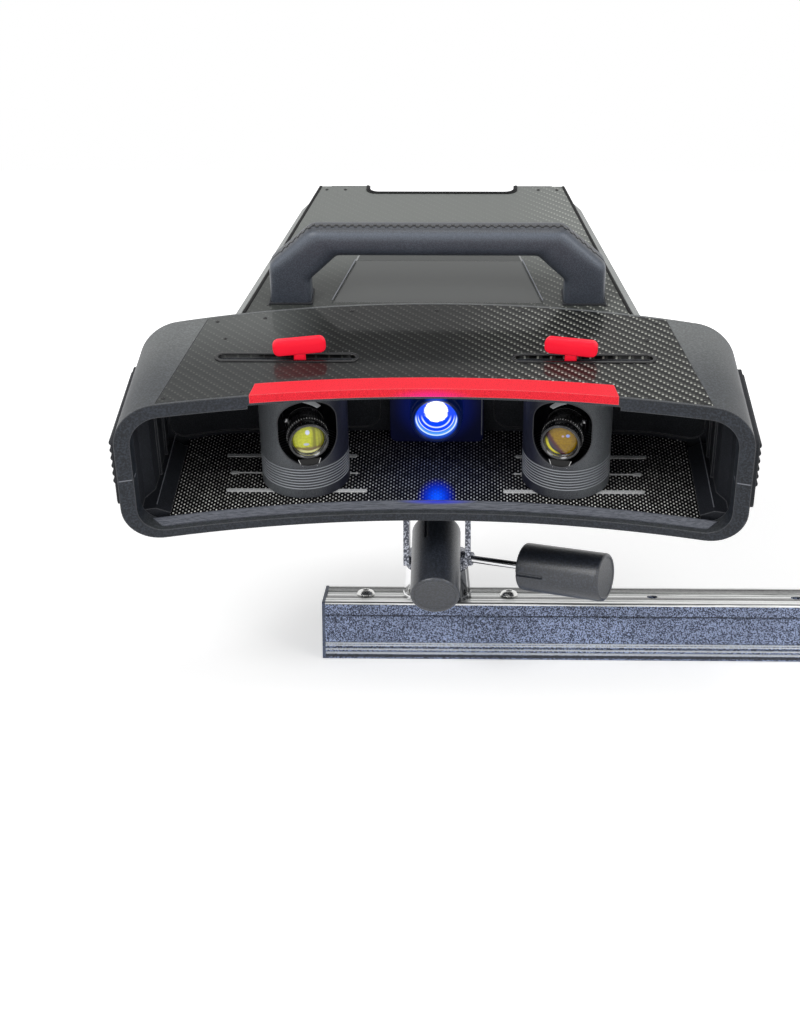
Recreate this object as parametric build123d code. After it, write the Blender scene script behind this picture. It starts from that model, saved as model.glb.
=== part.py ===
from build123d import *
import math
import os

# Structured-light desktop scanner on a three-way head and a crossbar.
# Row frame: X along the crossbar, Y to the rear, Z up, origin on the crossbar's
# underside below the pan axis. The scanner is built level in its own frame (X across,
# Y to the rear from the middle of the front rim, Z up from the underside) and is then
# tipped nose-down about the tilt axis.

os.makedirs("parts", exist_ok=True)

# ------------------------------------------------------------------ clearances
RUNNING_FIT = 0.05
BODY_GAP = 0.3
INLAY_GAP = 0.3
SEAT_GAP = 0.1

# ------------------------------------------------------------------ crossbar
RAIL_SIZE = 47.0
RAIL_WALL = 3.5
RAIL_CORNER_RADIUS = 1.5
RAIL_END_MARGIN = 31.0
RAIL_HOLE_COUNT = 4
RAIL_HOLE_PITCH = 114.5
RAIL_HOLE_RADIUS = 4.2
RAIL_CHANNEL_WIDTH = 18.0
RAIL_GROOVE_DEPTH = 1.0
RAIL_GROOVE_WIDTH = 1.4
RAIL_TOP_GROOVE_OFFSET = 16.0
RAIL_SIDE_GROOVE_HEIGHTS = (5.5, 9.0, 14.0, 36.0)
END_CAP_THICKNESS = 2.5
END_CAP_PLUG_DEPTH = 10.0
RAIL_SCREW_HEAD_RADIUS = 7.3
RAIL_SCREW_HEAD_HEIGHT = 4.4
RAIL_SCREW_SHANK_RADIUS = 4.0
RAIL_SCREW_SOCKET_RADIUS = 2.6
RAIL_SCREW_CROWN = 2.6

# ------------------------------------------------------------------ head
BASE_FOOT_RADIUS = 27.2
BASE_TOP_RADIUS = 24.6
BASE_HEIGHT = 24.3
BASE_FLANGE_HEIGHT = 3.0
SPIGOT_RADIUS = 12.0
SPIGOT_HEIGHT = 6.0
HEAD_BOLT_RADIUS = 4.75
HEAD_BOLT_HEAD_RADIUS = 8.0
HEAD_BOLT_HEAD_HEIGHT = 6.0
HEAD_BOLT_LENGTH = 16.0
YOKE_DISC_RADIUS = 25.0
YOKE_DISC_HEIGHT = 10.5
CHEEK_OUTER_X = 26.5
CHEEK_THICKNESS = 4.5
CHEEK_HALF_DEPTH = 17.0
CHEEK_ROOT = 4.0
TILT_AXIS_HEIGHT = 80.0
PIN_RADIUS = 4.0
PIN_HEAD_RADIUS = 7.0
PIN_HEAD_LENGTH = 2.5
TILT_BARREL_RADIUS = 15.0
ROLL_AXIS_RISE = 18.5
ROLL_LUG_RADIUS = 10.0
ROLL_LUG_LENGTH = 24.0
ROLL_EAR_RADIUS = 9.0
ROLL_EAR_LENGTH = 8.0
ROLL_PLATE_WIDTH = 74.0
ROLL_PLATE_DEPTH = 66.0
ROLL_PLATE_THICKNESS = 8.0
ROLL_KNOB_RADIUS = 10.4
ROLL_KNOB_LENGTH = 14.0
ROLL_KNOB_FLUTES = 8
ROLL_KNOB_FLUTE_RADIUS = 3.0
ROLL_KNOB_FLUTE_REACH = 1.5
ROLL_STUD_RADIUS = 3.0
ROLL_STUD_LENGTH = 12.0
HANDLE_ROD_RADIUS = 3.0
HANDLE_ROD_BORE_DEPTH = 12.0
HANDLE_BOSS_RADIUS = 5.5
HANDLE_BOSS_LENGTH = 4.0
HANDLE_BOSS_ROOT = 4.0
TILT_BORE_START = 6.0
GRIP_RADIUS = 18.6
GRIP_LENGTH = 68.0
GRIP_EDGE = 2.0
GRIP_SLOT_COUNT = 3
GRIP_SLOT_LENGTH = 23.0
GRIP_SLOT_WIDTH = 2.2
GRIP_SLOT_DEPTH = 1.6
PAN_HANDLE_HEIGHT = 33.5
PAN_HANDLE_TURN = -26.0
PAN_ROD_REACH = 76.0
TILT_HANDLE_DROP = 31.0
TILT_HANDLE_OFFSET = 5.5
TILT_ROD_REACH = 42.0

# ------------------------------------------------------------------ scanner placing
REST_TILT = 19.2
TILT_AXIS_Y = 99.2
MOUNT_PLATE_WIDTH = 110.0
MOUNT_PLATE_DEPTH = 86.0
MOUNT_PLATE_THICKNESS = 5.0
MOUNT_PLATE_CORNER = 8.0
MOUNT_SCREW_RADIUS = 3.0
MOUNT_SCREW_HEAD_RADIUS = 5.0
MOUNT_SCREW_HEAD_HEIGHT = 3.0
MOUNT_SCREW_INSET = 9.0
CAMERA_SCREW_RADIUS = 4.75
TILT_TO_ROLL_PLATE = 31.5

# ------------------------------------------------------------------ hood
HOOD_HALF_WIDTH = 222.0
HOOD_HEIGHT = 110.0
HOOD_DEPTH = 132.0
HOOD_FRONT_RADIUS = 800.0
HOOD_REAR_RADIUS = 600.0
HOOD_CORNER_RADIUS = 29.0
RIM_SIDE = 11.0
RIM_TOP = 10.5
RIM_BOTTOM = 6.5
RIM_DEPTH = 14.0
RIM_INNER_RADIUS = 20.0
SHELL_WALL = 5.0
REAR_WALL = 4.0
HOOD_SEAM_Z = 52.0
REAR_PASSAGE_HALF_WIDTH = 100.0
REAR_PASSAGE_LOW = 14.0
REAR_PASSAGE_DROP = 14.0

PANEL_THICKNESS = 3.0
PANEL_FRONT_HALF = 192.0
PANEL_REAR_HALF = 170.0
PANEL_FRONT_SETBACK = 2.0
PANEL_REAR_SETBACK = 2.5

STRIP_FRONT_HALF = 128.0
STRIP_REAR_HALF = 125.5
STRIP_DEPTH = 16.0
STRIP_FACE = 6.0
STRIP_PLATE = 3.0
STRIP_PROUD = 0.5
STRIP_LIP_LENGTH = 3.0
STRIP_RIM = 1.6

SLOT_INNER_X = 56.0
SLOT_OUTER_X = 157.0
SLOT_Y = 45.0
SLOT_WIDTH = 10.5
SLOT_LINER_WALL = 1.5
SLOT_LINER_FLANGE = 1.2
SLOT_LINER_PROUD = 0.8

# ------------------------------------------------------------------ inside the hood
FLOOR_Z = 11.5
FLOOR_SHEET = 2.0
FLOOR_FRONT_Y = 10.0
BULKHEAD_Y = 109.0
BULKHEAD_RADIUS = 1900.0
BULKHEAD_THICKNESS = 3.5
BULKHEAD_END_WALL = 2.5
BULKHEAD_RECESS_DEPTH = 1.2
BULKHEAD_RECESS_INNER_X = 44.0
BULKHEAD_RECESS_SETBACK = 18.0
BULKHEAD_RECESS_LOW = 14.5
BULKHEAD_RECESS_DROP = 14.0
BULKHEAD_RECESS_RADIUS = 12.0
LEDGE_FRONT_Y = 4.5
LEDGE_FRONT_HEIGHT = 1.0
LEDGE_REAR_LAND = 1.0
LEDGE_FRONT_HALF = 195.5
LEDGE_REAR_HALF = 203.0
GUIDE_BAR_WIDTH = 3.6
GUIDE_BAR_HEIGHT = 0.9
GUIDE_BARS = ((21.0, 50.0, 154.0), (69.6, 60.0, 159.0))
GUIDE_WIRE_Y = 45.2
GUIDE_WIRE_WIDTH = 1.0
GUIDE_WIRE_INNER_X = 58.0
GUIDE_WIRE_OUTER_X = 153.5
GUIDE_WIRE_END_LENGTH = 6.0
LINER_FACE_SETBACK = 17.0
LINER_FRONT_Y = 2.0
LINER_BEND_Y = 14.0
LINER_TOP_DROP = 11.0
LINER_RIB_THICKNESS = 3.0
LINER_RIB_HEIGHT = 2.0
LINER_RIB_YS = (34.0, 62.0)
LINER_REAR_GAP = 2.0
KERB_HEIGHT = 5.5
KERB_WIDTH = 10.0

# ------------------------------------------------------------------ projector
PROJECTOR_HALF_WIDTH = 35.5
PROJECTOR_FRONT_Y = 92.0
PROJECTOR_TOP_DROP = 11.0
PROJECTOR_CORNER = 5.0
PROJECTOR_LENS_Z = 43.0
PROJECTOR_LENS_FRONT_Y = 70.0
PROJECTOR_LENS_RADIUS = 20.0
PROJECTOR_GLASS_RADIUS = 16.5
PROJECTOR_GLASS_SETBACK = 3.0
PROJECTOR_GLASS_THICKNESS = 4.0
PROJECTOR_THROAT_RADIUS = 14.0
PROJECTOR_BEZEL_STEP = 1.0
PROJECTOR_BEZEL_LENGTH = 6.0

# ------------------------------------------------------------------ camera turrets
TURRET_X = 96.5
TURRET_Y = 42.0
TURRET_RADIUS = 32.5
TURRET_WALL = 3.0
TURRET_TOP_DROP = 8.0
TURRET_FLOOR_GAP = 0.4
TOE_IN = 11.5
WINDOW_WIDTH = 43.0
WINDOW_LOW_Z = 40.0
WINDOW_TOP_DROP = 16.0
TURRET_GROOVES = 8
TURRET_GROOVE_PITCH = 2.3
TURRET_GROOVE_START = 7.5
TURRET_GROOVE_DEPTH = 1.0
TURRET_GROOVE_WIDTH = 1.5
LENS_Z = 60.6
LENS_FRONT_REACH = 33.0
LENS_BARREL_RADIUS = 12.4
LENS_BEZEL_RADIUS = 14.5
LENS_BEZEL_LENGTH = 7.0
FOCUS_RING_RADIUS = 15.2
FOCUS_RING_LENGTH = 10.5
IRIS_RING_RADIUS = 14.2
IRIS_RING_LENGTH = 7.0
LENS_MOUNT_LENGTH = 8.0
LENS_GLASS_RADIUS = 10.6
LENS_GLASS_DOME = 1.6
LENS_GLASS_SETBACK = 2.5
LENS_GLASS_THICKNESS = 4.0
CAMERA_WIDTH = 27.0
CAMERA_HEIGHT = 29.0
CAMERA_LENGTH = 17.0
CAMERA_POST_RADIUS = 5.0

# ------------------------------------------------------------------ sliding knobs
KNOB_STEM_WIDTH = 8.5
KNOB_STEM_DEPTH = 4.6
KNOB_HEAD_WIDTH = 38.0
KNOB_HEAD_HEIGHT = 12.0
KNOB_HEAD_DEPTH = 6.0
KNOB_HEAD_LIFT = 3.5
KNOB_CORNER = 4.5
KNOB_LEAN = 5.0
KNOB_EDGE = 1.0

# ------------------------------------------------------------------ side grip pads
PAD_FRONT_Y = -13.0
PAD_REAR_Y = 98.0
PAD_LOW_Z = 19.0
PAD_TOP_DROP = 35.0
PAD_THICKNESS = 6.0
PAD_CORNER = 6.0
PAD_RIDGE_COUNT = 6
PAD_RIDGE_PITCH = 6.4
PAD_RIDGE_HEIGHT = 2.5
PAD_RIDGE_INSET = 5.5

# ------------------------------------------------------------------ rear body
REAR_END_Y = 360.0
REAR_DROP = 3.0
REAR_PANEL_FRONT_HALF = 146.0
REAR_PANEL_END_HALF = 104.5
REAR_SLOPE = 9.0
REAR_SHELL_WALL = 4.0
REAR_CEILING = 6.0
REAR_INNER_SLOPE = 7.0
REAR_CORNER_CUT_Y = 30.0
REAR_CORNER_CUT_X = 14.0
REAR_PANEL_BORDER = 1.0
NOTCH_HALF_WIDTH = 65.0
NOTCH_DEPTH = 17.0
NOTCH_CORNER = 9.0
NOTCH_EDGING = 2.0
NOTCH_EDGING_PROUD = 0.6
COVER_FRONT_Y = 139.0
COVER_REAR_Y = 211.0
COVER_FRONT_HALF = 80.0
COVER_REAR_HALF = 66.0
COVER_THICKNESS = 1.6
BOTTOM_COVER_THICKNESS = 3.0

# ------------------------------------------------------------------ carrying handle
HANDLE_HALF_WIDTH = 127.0
HANDLE_HEIGHT = 60.0
HANDLE_FOOT_WIDTH = 31.0
HANDLE_BAR_THICKNESS = 22.0
HANDLE_TOP_HALF = 95.0
HANDLE_LEG_HEIGHT = 31.0
HANDLE_INNER_HALF = 75.0
HANDLE_INNER_LEG = 19.0
HANDLE_DEPTH = 24.0
HANDLE_FRONT_Y = 135.0
HANDLE_EDGE_RADIUS = 5.0
FOOT_PAD_THICKNESS = 1.5
FOOT_PAD_MARGIN = 1.0

# ------------------------------------------------------------------ working parts inside
ENGINE_WIDTH = 62.0
ENGINE_HEIGHT = 58.0
ENGINE_REAR_Y = 232.0
HEATSINK_REAR_Y = 262.0
HEATSINK_FINS = 9
HEATSINK_FIN = 2.0
HEATSINK_BASE = 5.0
BOARD_WIDTH = 150.0
BOARD_FRONT_Y = 150.0
BOARD_REAR_Y = 290.0
BOARD_THICKNESS = 1.6
BOARD_POST_LENGTH = 5.4
BOARD_POST_RADIUS = 3.0
BOARD_POST_INSET = 8.0
FAN_SIZE = 60.0
FAN_THICKNESS = 20.0
FAN_X = 0.0
FAN_Z = 48.0
FAN_BORE_RADIUS = 27.5
FAN_HUB_RADIUS = 12.0
FAN_TIP_RADIUS = 26.5
FAN_BLADES = 7
FAN_SHAFT_RADIUS = 1.5
FAN_STRUT_WIDTH = 4.0
FAN_STRUT_THICKNESS = 3.0
FAN_ROTOR_SETBACK = 2.0
FAN_HUB_FACE = 1.5
FAN_SHAFT_SETBACK = 4.0
FAN_BLADE_THICKNESS = 2.0
FAN_BLADE_PITCH = 35.0
FAN_BLADE_MARGIN = 1.5
GRILLE_SLOT_HEIGHT = 4.5
GRILLE_SLOT_PITCH = 8.0
GRILLE_SLOTS = 7
SOCKET_DEPTH = 12.0
INLET_X = 82.0
INLET_WIDTH = 20.0
INLET_HEIGHT = 27.0
INLET_Z = 36.0
DATA_X = -82.0
DATA_WIDTH = 14.0
DATA_HEIGHT = 12.0
DATA_ZS = (32.0, 54.0)
SOCKET_RIM = 1.6
SOCKET_FLANGE = 1.2
SOCKET_PROUD = 1.0
SWITCH_X = 82.0
SWITCH_Z = 74.0
SWITCH_WIDTH = 13.0
SWITCH_HEIGHT = 20.0
SWITCH_THROW = 10.0
SWITCH_BODY_DEPTH = 8.0
SWITCH_PROUD = 2.4
SWITCH_AXLE_SETBACK = 2.0
SWITCH_AXLE_RADIUS = 1.2

# ------------------------------------------------------------------ derived sizes
FLOOR_HALF_WIDTH = HOOD_HALF_WIDTH - RIM_SIDE - RIM_INNER_RADIUS
RAIL_LEFT_X = -RAIL_HOLE_PITCH / 2 - RAIL_END_MARGIN
RAIL_RIGHT_X = (RAIL_HOLE_COUNT - 1.5) * RAIL_HOLE_PITCH + RAIL_END_MARGIN
RAIL_HOLE_XS = [(index - 0.5) * RAIL_HOLE_PITCH for index in range(RAIL_HOLE_COUNT)]
TILT_AXIS_Z = RAIL_SIZE + TILT_AXIS_HEIGHT
REAR_HEIGHT = HOOD_HEIGHT - REAR_DROP
REAR_PASSAGE_HIGH = HOOD_HEIGHT - REAR_PASSAGE_DROP
BULKHEAD_RECESS_OUTER_X = HOOD_HALF_WIDTH - BULKHEAD_RECESS_SETBACK
BULKHEAD_RECESS_HIGH = HOOD_HEIGHT - BULKHEAD_RECESS_DROP
LINER_FRONT_X = HOOD_HALF_WIDTH - RIM_SIDE
LINER_FACE_X = HOOD_HALF_WIDTH - LINER_FACE_SETBACK
LINER_TOP_Z = HOOD_HEIGHT - LINER_TOP_DROP
PROJECTOR_TOP_Z = HOOD_HEIGHT - PROJECTOR_TOP_DROP
TURRET_TOP_Z = HOOD_HEIGHT - TURRET_TOP_DROP
WINDOW_HEIGHT = HOOD_HEIGHT - WINDOW_TOP_DROP - WINDOW_LOW_Z
PAD_HIGH_Z = HOOD_HEIGHT - PAD_TOP_DROP
BOARD_Z = REAR_HEIGHT - REAR_CEILING - BOARD_THICKNESS - BOARD_POST_LENGTH
MOUNT_STACK = MOUNT_PLATE_THICKNESS + ROLL_PLATE_THICKNESS + TILT_TO_ROLL_PLATE
TURRET_BASE_Z = FLOOR_Z + GUIDE_BAR_HEIGHT + TURRET_FLOOR_GAP
REAR_CORNER_Y = REAR_END_Y - REAR_CORNER_CUT_Y


# ------------------------------------------------------------------ shape helpers
def block(x_low, x_high, y_low, y_high, z_low, z_high):
    """Rectangular block between the given limits."""
    middle = Pos((x_low + x_high) / 2, (y_low + y_high) / 2, (z_low + z_high) / 2)
    return middle * Box(x_high - x_low, y_high - y_low, z_high - z_low)


def bar(start, direction, radius, length):
    """Round bar that leaves start along direction."""
    return extrude(Plane(origin=start, z_dir=direction) * Circle(radius), length)


def bar_x(radius, x_low, x_high, y, z):
    """Round bar along X."""
    return bar((x_low, y, z), (1, 0, 0), radius, x_high - x_low)


def bar_y(radius, y_low, y_high, x, z):
    """Round bar along Y."""
    return bar((x, y_low, z), (0, 1, 0), radius, y_high - y_low)


def bar_z(radius, z_low, z_high, x=0.0, y=0.0):
    """Round bar along Z."""
    return bar((x, y, z_low), (0, 0, 1), radius, z_high - z_low)


def prism(points, z_low, z_high):
    """Upright prism over a plan polygon."""
    return Pos(0, 0, z_low) * extrude(make_face(Polyline(*points, close=True)), z_high - z_low)


def mirrored_outline(points, apex=()):
    """Plan points of the right half, any on the middle line, and the mirror images on the left."""
    return list(points) + list(apex) + [(-x, y) for x, y in reversed(points)]


def front_disc(setback, z_low, z_high):
    """Disc about the front aiming axis, reaching setback behind the hood's front arc."""
    return bar_z(HOOD_FRONT_RADIUS + setback, z_low, z_high, 0, -HOOD_FRONT_RADIUS)


def rear_disc(setback, z_low, z_high):
    """Disc that ends setback ahead of the hood's rear arc."""
    return bar_z(HOOD_REAR_RADIUS - setback, z_low, z_high, 0, HOOD_DEPTH - HOOD_REAR_RADIUS)


def front_y(x):
    """Y of the hood's front arc at a given X."""
    return math.sqrt(HOOD_FRONT_RADIUS ** 2 - x ** 2) - HOOD_FRONT_RADIUS


def rear_y(x):
    """Y of the hood's rear arc at a given X."""
    return HOOD_DEPTH - HOOD_REAR_RADIUS + math.sqrt(HOOD_REAR_RADIUS ** 2 - x ** 2)


def hood_prism(front, rear):
    """Prism over the hood's plan, set back from its arcs and a little wider and taller than the hood."""
    half = HOOD_HALF_WIDTH + 1
    low, high = -1, HOOD_HEIGHT + 1
    limits = block(-half, half, -HOOD_DEPTH, HOOD_DEPTH, low, high)
    return (limits & rear_disc(rear, low, high)) - front_disc(front, low - 1, high + 1)


def rounded_section(half_width, z_low, z_high, radius):
    """Rounded rectangle in the XZ plane, carried along the hood's depth."""
    outline = RectangleRounded(2 * half_width, z_high - z_low, radius)
    return extrude(Plane.XZ * (Pos(0, (z_low + z_high) / 2) * outline), 2 * HOOD_DEPTH, both=True)


def slot_prism(x_low, x_high, y, width, z_low, z_high):
    """Straight slot with round ends, along X."""
    outline = Pos((x_low + x_high) / 2, y) * SlotOverall(x_high - x_low, width)
    return Pos(0, 0, z_low) * extrude(outline, z_high - z_low)


def both_sides(shape):
    """The shape and its mirror image about the middle plane."""
    return Compound(list(shape.solids()) + list(mirror(shape, about=Plane.YZ).solids()))


# ------------------------------------------------------------------ crossbar parts
def rail_profile():
    """Hollow square extrusion with a shallow channel on top and trim grooves."""
    half = RAIL_SIZE / 2
    length = RAIL_RIGHT_X - RAIL_LEFT_X
    outline = RectangleRounded(RAIL_SIZE, RAIL_SIZE, RAIL_CORNER_RADIUS)
    inner = RAIL_SIZE - 2 * RAIL_WALL
    section = outline - RectangleRounded(inner, inner, RAIL_CORNER_RADIUS)
    section -= Pos(0, half - RAIL_GROOVE_DEPTH / 2) * Rectangle(RAIL_CHANNEL_WIDTH, RAIL_GROOVE_DEPTH)
    for side in (-1, 1):
        level = side * (half - RAIL_GROOVE_DEPTH / 2)
        for offset in (-RAIL_TOP_GROOVE_OFFSET, RAIL_TOP_GROOVE_OFFSET):
            section -= Pos(offset, level) * Rectangle(RAIL_GROOVE_WIDTH, RAIL_GROOVE_DEPTH)
        for height in RAIL_SIDE_GROOVE_HEIGHTS:
            section -= Pos(level, height - half) * Rectangle(RAIL_GROOVE_DEPTH, RAIL_GROOVE_WIDTH)
    plane = Plane(origin=(RAIL_LEFT_X, 0, half), x_dir=(0, 1, 0), z_dir=(1, 0, 0))
    profile = extrude(plane * section, length)
    for x in RAIL_HOLE_XS:
        profile -= bar_z(RAIL_HOLE_RADIUS, -1, RAIL_SIZE + 1, x)
    return profile - bar_z(HEAD_BOLT_RADIUS + SEAT_GAP, RAIL_SIZE - RAIL_WALL - 1, RAIL_SIZE + 1)


def rail_end_caps():
    """Plastic caps that plug the open ends of the crossbar."""
    inner = RAIL_SIZE - 2 * RAIL_WALL - 2 * SEAT_GAP
    caps = []
    for x, side in ((RAIL_LEFT_X, -1), (RAIL_RIGHT_X, 1)):
        plane = Plane(origin=(x, 0, RAIL_SIZE / 2), x_dir=(0, 1, 0), z_dir=(side, 0, 0))
        face = RectangleRounded(RAIL_SIZE, RAIL_SIZE, RAIL_CORNER_RADIUS)
        cap = extrude(plane * face, END_CAP_THICKNESS)
        cap += extrude(plane * RectangleRounded(inner, inner, RAIL_CORNER_RADIUS), -END_CAP_PLUG_DEPTH)
        caps += cap.solids()
    return Compound(caps)


def rail_screws():
    """Button-head screws through the crossbar, either side of the head."""
    seat = RAIL_SIZE - RAIL_GROOVE_DEPTH
    screws = []
    for x in RAIL_HOLE_XS[:2]:
        head = bar_z(RAIL_SCREW_HEAD_RADIUS, seat, seat + RAIL_SCREW_HEAD_HEIGHT, x)
        rim = head.edges().filter_by(GeomType.CIRCLE).sort_by(Axis.Z)[-1]
        head = chamfer(rim, RAIL_SCREW_CROWN)
        socket = Pos(x, 0, seat + RAIL_SCREW_HEAD_HEIGHT / 2) * extrude(
            RegularPolygon(RAIL_SCREW_SOCKET_RADIUS, 6), RAIL_SCREW_HEAD_HEIGHT)
        shank = bar_z(RAIL_SCREW_SHANK_RADIUS, RAIL_GROOVE_DEPTH, seat, x)
        screws += (head + shank - socket).solids()
    return Compound(screws)


# ------------------------------------------------------------------ head parts
def head_base():
    """Turned cone with a foot flange and the spigot that the yoke turns on."""
    profile = Polyline(
        (0, RAIL_SIZE),
        (BASE_FOOT_RADIUS, RAIL_SIZE),
        (BASE_FOOT_RADIUS, RAIL_SIZE + BASE_FLANGE_HEIGHT),
        (BASE_TOP_RADIUS, RAIL_SIZE + BASE_HEIGHT),
        (SPIGOT_RADIUS, RAIL_SIZE + BASE_HEIGHT),
        (SPIGOT_RADIUS, RAIL_SIZE + BASE_HEIGHT + SPIGOT_HEIGHT),
        (0, RAIL_SIZE + BASE_HEIGHT + SPIGOT_HEIGHT),
        close=True,
    )
    cone = revolve(Plane.XZ * make_face(profile), Axis.Z)
    return cone - bar_z(HEAD_BOLT_RADIUS, RAIL_SIZE - 1, RAIL_SIZE + HEAD_BOLT_LENGTH)


def head_bolt():
    """Hexagon bolt that holds the head down from inside the crossbar."""
    under = RAIL_SIZE - RAIL_WALL
    head = Pos(0, 0, under - HEAD_BOLT_HEAD_HEIGHT) * extrude(
        RegularPolygon(HEAD_BOLT_HEAD_RADIUS, 6), HEAD_BOLT_HEAD_HEIGHT)
    return head + bar_z(HEAD_BOLT_RADIUS, under, RAIL_SIZE + HEAD_BOLT_LENGTH)


def pan_direction():
    """Unit vector along the pan handle, away from the pan axis."""
    turn = math.radians(PAN_HANDLE_TURN)
    return (math.cos(turn), math.sin(turn), 0.0)


def pan_handle_point(reach):
    """Point on the pan handle's axis at a distance from the pan axis."""
    x, y, _ = pan_direction()
    return (x * reach, y * reach, RAIL_SIZE + PAN_HANDLE_HEIGHT)


def pan_yoke():
    """Disc with two cheeks that carry the tilt pin."""
    low = RAIL_SIZE + BASE_HEIGHT + BODY_GAP
    top = low + YOKE_DISC_HEIGHT
    yoke = bar_z(YOKE_DISC_RADIUS, low, top)
    inner_x = CHEEK_OUTER_X - CHEEK_THICKNESS
    for side in (-1, 1):
        x_low, x_high = sorted((side * inner_x, side * CHEEK_OUTER_X))
        yoke += block(x_low, x_high, -CHEEK_HALF_DEPTH, CHEEK_HALF_DEPTH, low + CHEEK_ROOT, TILT_AXIS_Z)
        yoke += bar_x(CHEEK_HALF_DEPTH, x_low, x_high, 0, TILT_AXIS_Z)
    boss_start = YOKE_DISC_RADIUS - HANDLE_BOSS_ROOT
    boss_length = CHEEK_OUTER_X + HANDLE_BOSS_LENGTH - boss_start
    yoke += bar(pan_handle_point(boss_start), pan_direction(), HANDLE_BOSS_RADIUS, boss_length)
    yoke -= bar_z(SPIGOT_RADIUS + RUNNING_FIT, low - 1, low + SPIGOT_HEIGHT)
    yoke -= bar_x(PIN_RADIUS, -CHEEK_OUTER_X - 1, CHEEK_OUTER_X + 1, 0, TILT_AXIS_Z)
    bore_start = pan_handle_point(YOKE_DISC_RADIUS - HANDLE_ROD_BORE_DEPTH)
    return yoke - bar(bore_start, pan_direction(), HANDLE_ROD_RADIUS + RUNNING_FIT, PAN_ROD_REACH)


def tilt_pin():
    """Cross pin with flanged heads outside the cheeks."""
    pin = bar_x(PIN_RADIUS, -CHEEK_OUTER_X, CHEEK_OUTER_X, 0, TILT_AXIS_Z)
    for side in (-1, 1):
        x_low, x_high = sorted((side * CHEEK_OUTER_X, side * (CHEEK_OUTER_X + PIN_HEAD_LENGTH)))
        pin += bar_x(PIN_HEAD_RADIUS, x_low, x_high, 0, TILT_AXIS_Z)
    return pin


def handle_grip(start, direction):
    """Cylindrical grip with long slots at its rod end."""
    plane = Plane(origin=start, z_dir=direction)
    body = extrude(Circle(GRIP_RADIUS), GRIP_LENGTH)
    body = chamfer(body.edges().filter_by(GeomType.CIRCLE), GRIP_EDGE)
    for index in range(GRIP_SLOT_COUNT):
        turn = 360.0 / GRIP_SLOT_COUNT * index
        cut = block(
            GRIP_RADIUS - GRIP_SLOT_DEPTH, GRIP_RADIUS + 1,
            -GRIP_SLOT_WIDTH / 2, GRIP_SLOT_WIDTH / 2, -1, GRIP_SLOT_LENGTH)
        body -= Rot(0, 0, turn) * cut
    body -= bar_z(HANDLE_ROD_RADIUS, -1, HANDLE_ROD_BORE_DEPTH)
    return plane.location * body


def handle_rod(start, direction, length):
    """Chrome rod between a head bore and its grip."""
    return bar(start, direction, HANDLE_ROD_RADIUS, length)


def tilt_direction():
    """Unit vector along the tilt handle, forward and down."""
    drop = math.radians(TILT_HANDLE_DROP)
    return (0.0, -math.cos(drop), -math.sin(drop))


def tilt_handle_point(reach):
    """Point on the tilt handle's axis at a distance from its nearest place to the tilt axis."""
    _, y, z = tilt_direction()
    return (0.0, z * TILT_HANDLE_OFFSET + y * reach, TILT_AXIS_Z - y * TILT_HANDLE_OFFSET + z * reach)


def tilt_block():
    """Barrel on the tilt pin with the lug of the roll hinge above it, in the level frame."""
    half = CHEEK_OUTER_X - CHEEK_THICKNESS - BODY_GAP
    body = bar_x(TILT_BARREL_RADIUS, -half, half, 0, 0)
    lug_half = ROLL_LUG_LENGTH / 2
    body += bar_y(ROLL_LUG_RADIUS, -lug_half, lug_half, 0, ROLL_AXIS_RISE)
    body += block(-ROLL_LUG_RADIUS, ROLL_LUG_RADIUS, -lug_half, lug_half, 0, ROLL_AXIS_RISE)
    body -= bar_x(PIN_RADIUS + RUNNING_FIT, -half - 1, half + 1, 0, 0)
    return body - bar_y(PIN_RADIUS + RUNNING_FIT, -lug_half - 1, lug_half + 1, 0, ROLL_AXIS_RISE)


def tilt_block_with_bore():
    """Tilt block in the row frame with the bore for its handle."""
    body = HEAD_TILT * tilt_block()
    start = tilt_handle_point(TILT_BORE_START)
    boss_length = TILT_BARREL_RADIUS + HANDLE_BOSS_LENGTH - TILT_BORE_START
    body += bar(start, tilt_direction(), HANDLE_BOSS_RADIUS, boss_length)
    body -= bar_x(PIN_RADIUS + RUNNING_FIT, -CHEEK_OUTER_X, CHEEK_OUTER_X, 0, TILT_AXIS_Z)
    return body - bar(start, tilt_direction(), HANDLE_ROD_RADIUS + RUNNING_FIT, TILT_ROD_REACH)


def roll_plate():
    """Top plate of the head with two ears for the roll pin, in the level frame."""
    low = TILT_TO_ROLL_PLATE
    outline = RectangleRounded(ROLL_PLATE_WIDTH, ROLL_PLATE_DEPTH, MOUNT_PLATE_CORNER)
    plate = Pos(0, 0, low) * extrude(outline, ROLL_PLATE_THICKNESS)
    for side in (-1, 1):
        near = side * (ROLL_LUG_LENGTH / 2 + BODY_GAP)
        y_low, y_high = sorted((near, near + side * ROLL_EAR_LENGTH))
        plate += bar_y(ROLL_EAR_RADIUS, y_low, y_high, 0, ROLL_AXIS_RISE)
        plate += block(-ROLL_EAR_RADIUS, ROLL_EAR_RADIUS, y_low, y_high, ROLL_AXIS_RISE, low)
    plate -= bar_y(PIN_RADIUS, -ROLL_PLATE_DEPTH, ROLL_PLATE_DEPTH, 0, ROLL_AXIS_RISE)
    return plate - bar_z(CAMERA_SCREW_RADIUS, low - 1, low + ROLL_PLATE_THICKNESS + 1)


def roll_pin():
    """Hinge pin of the roll joint with the stud for its clamping knob."""
    reach = ROLL_LUG_LENGTH / 2 + BODY_GAP + ROLL_EAR_LENGTH
    pin = bar_y(PIN_RADIUS, -reach, reach, 0, ROLL_AXIS_RISE)
    return pin + bar_y(ROLL_STUD_RADIUS, reach, reach + ROLL_STUD_LENGTH, 0, ROLL_AXIS_RISE)


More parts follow.
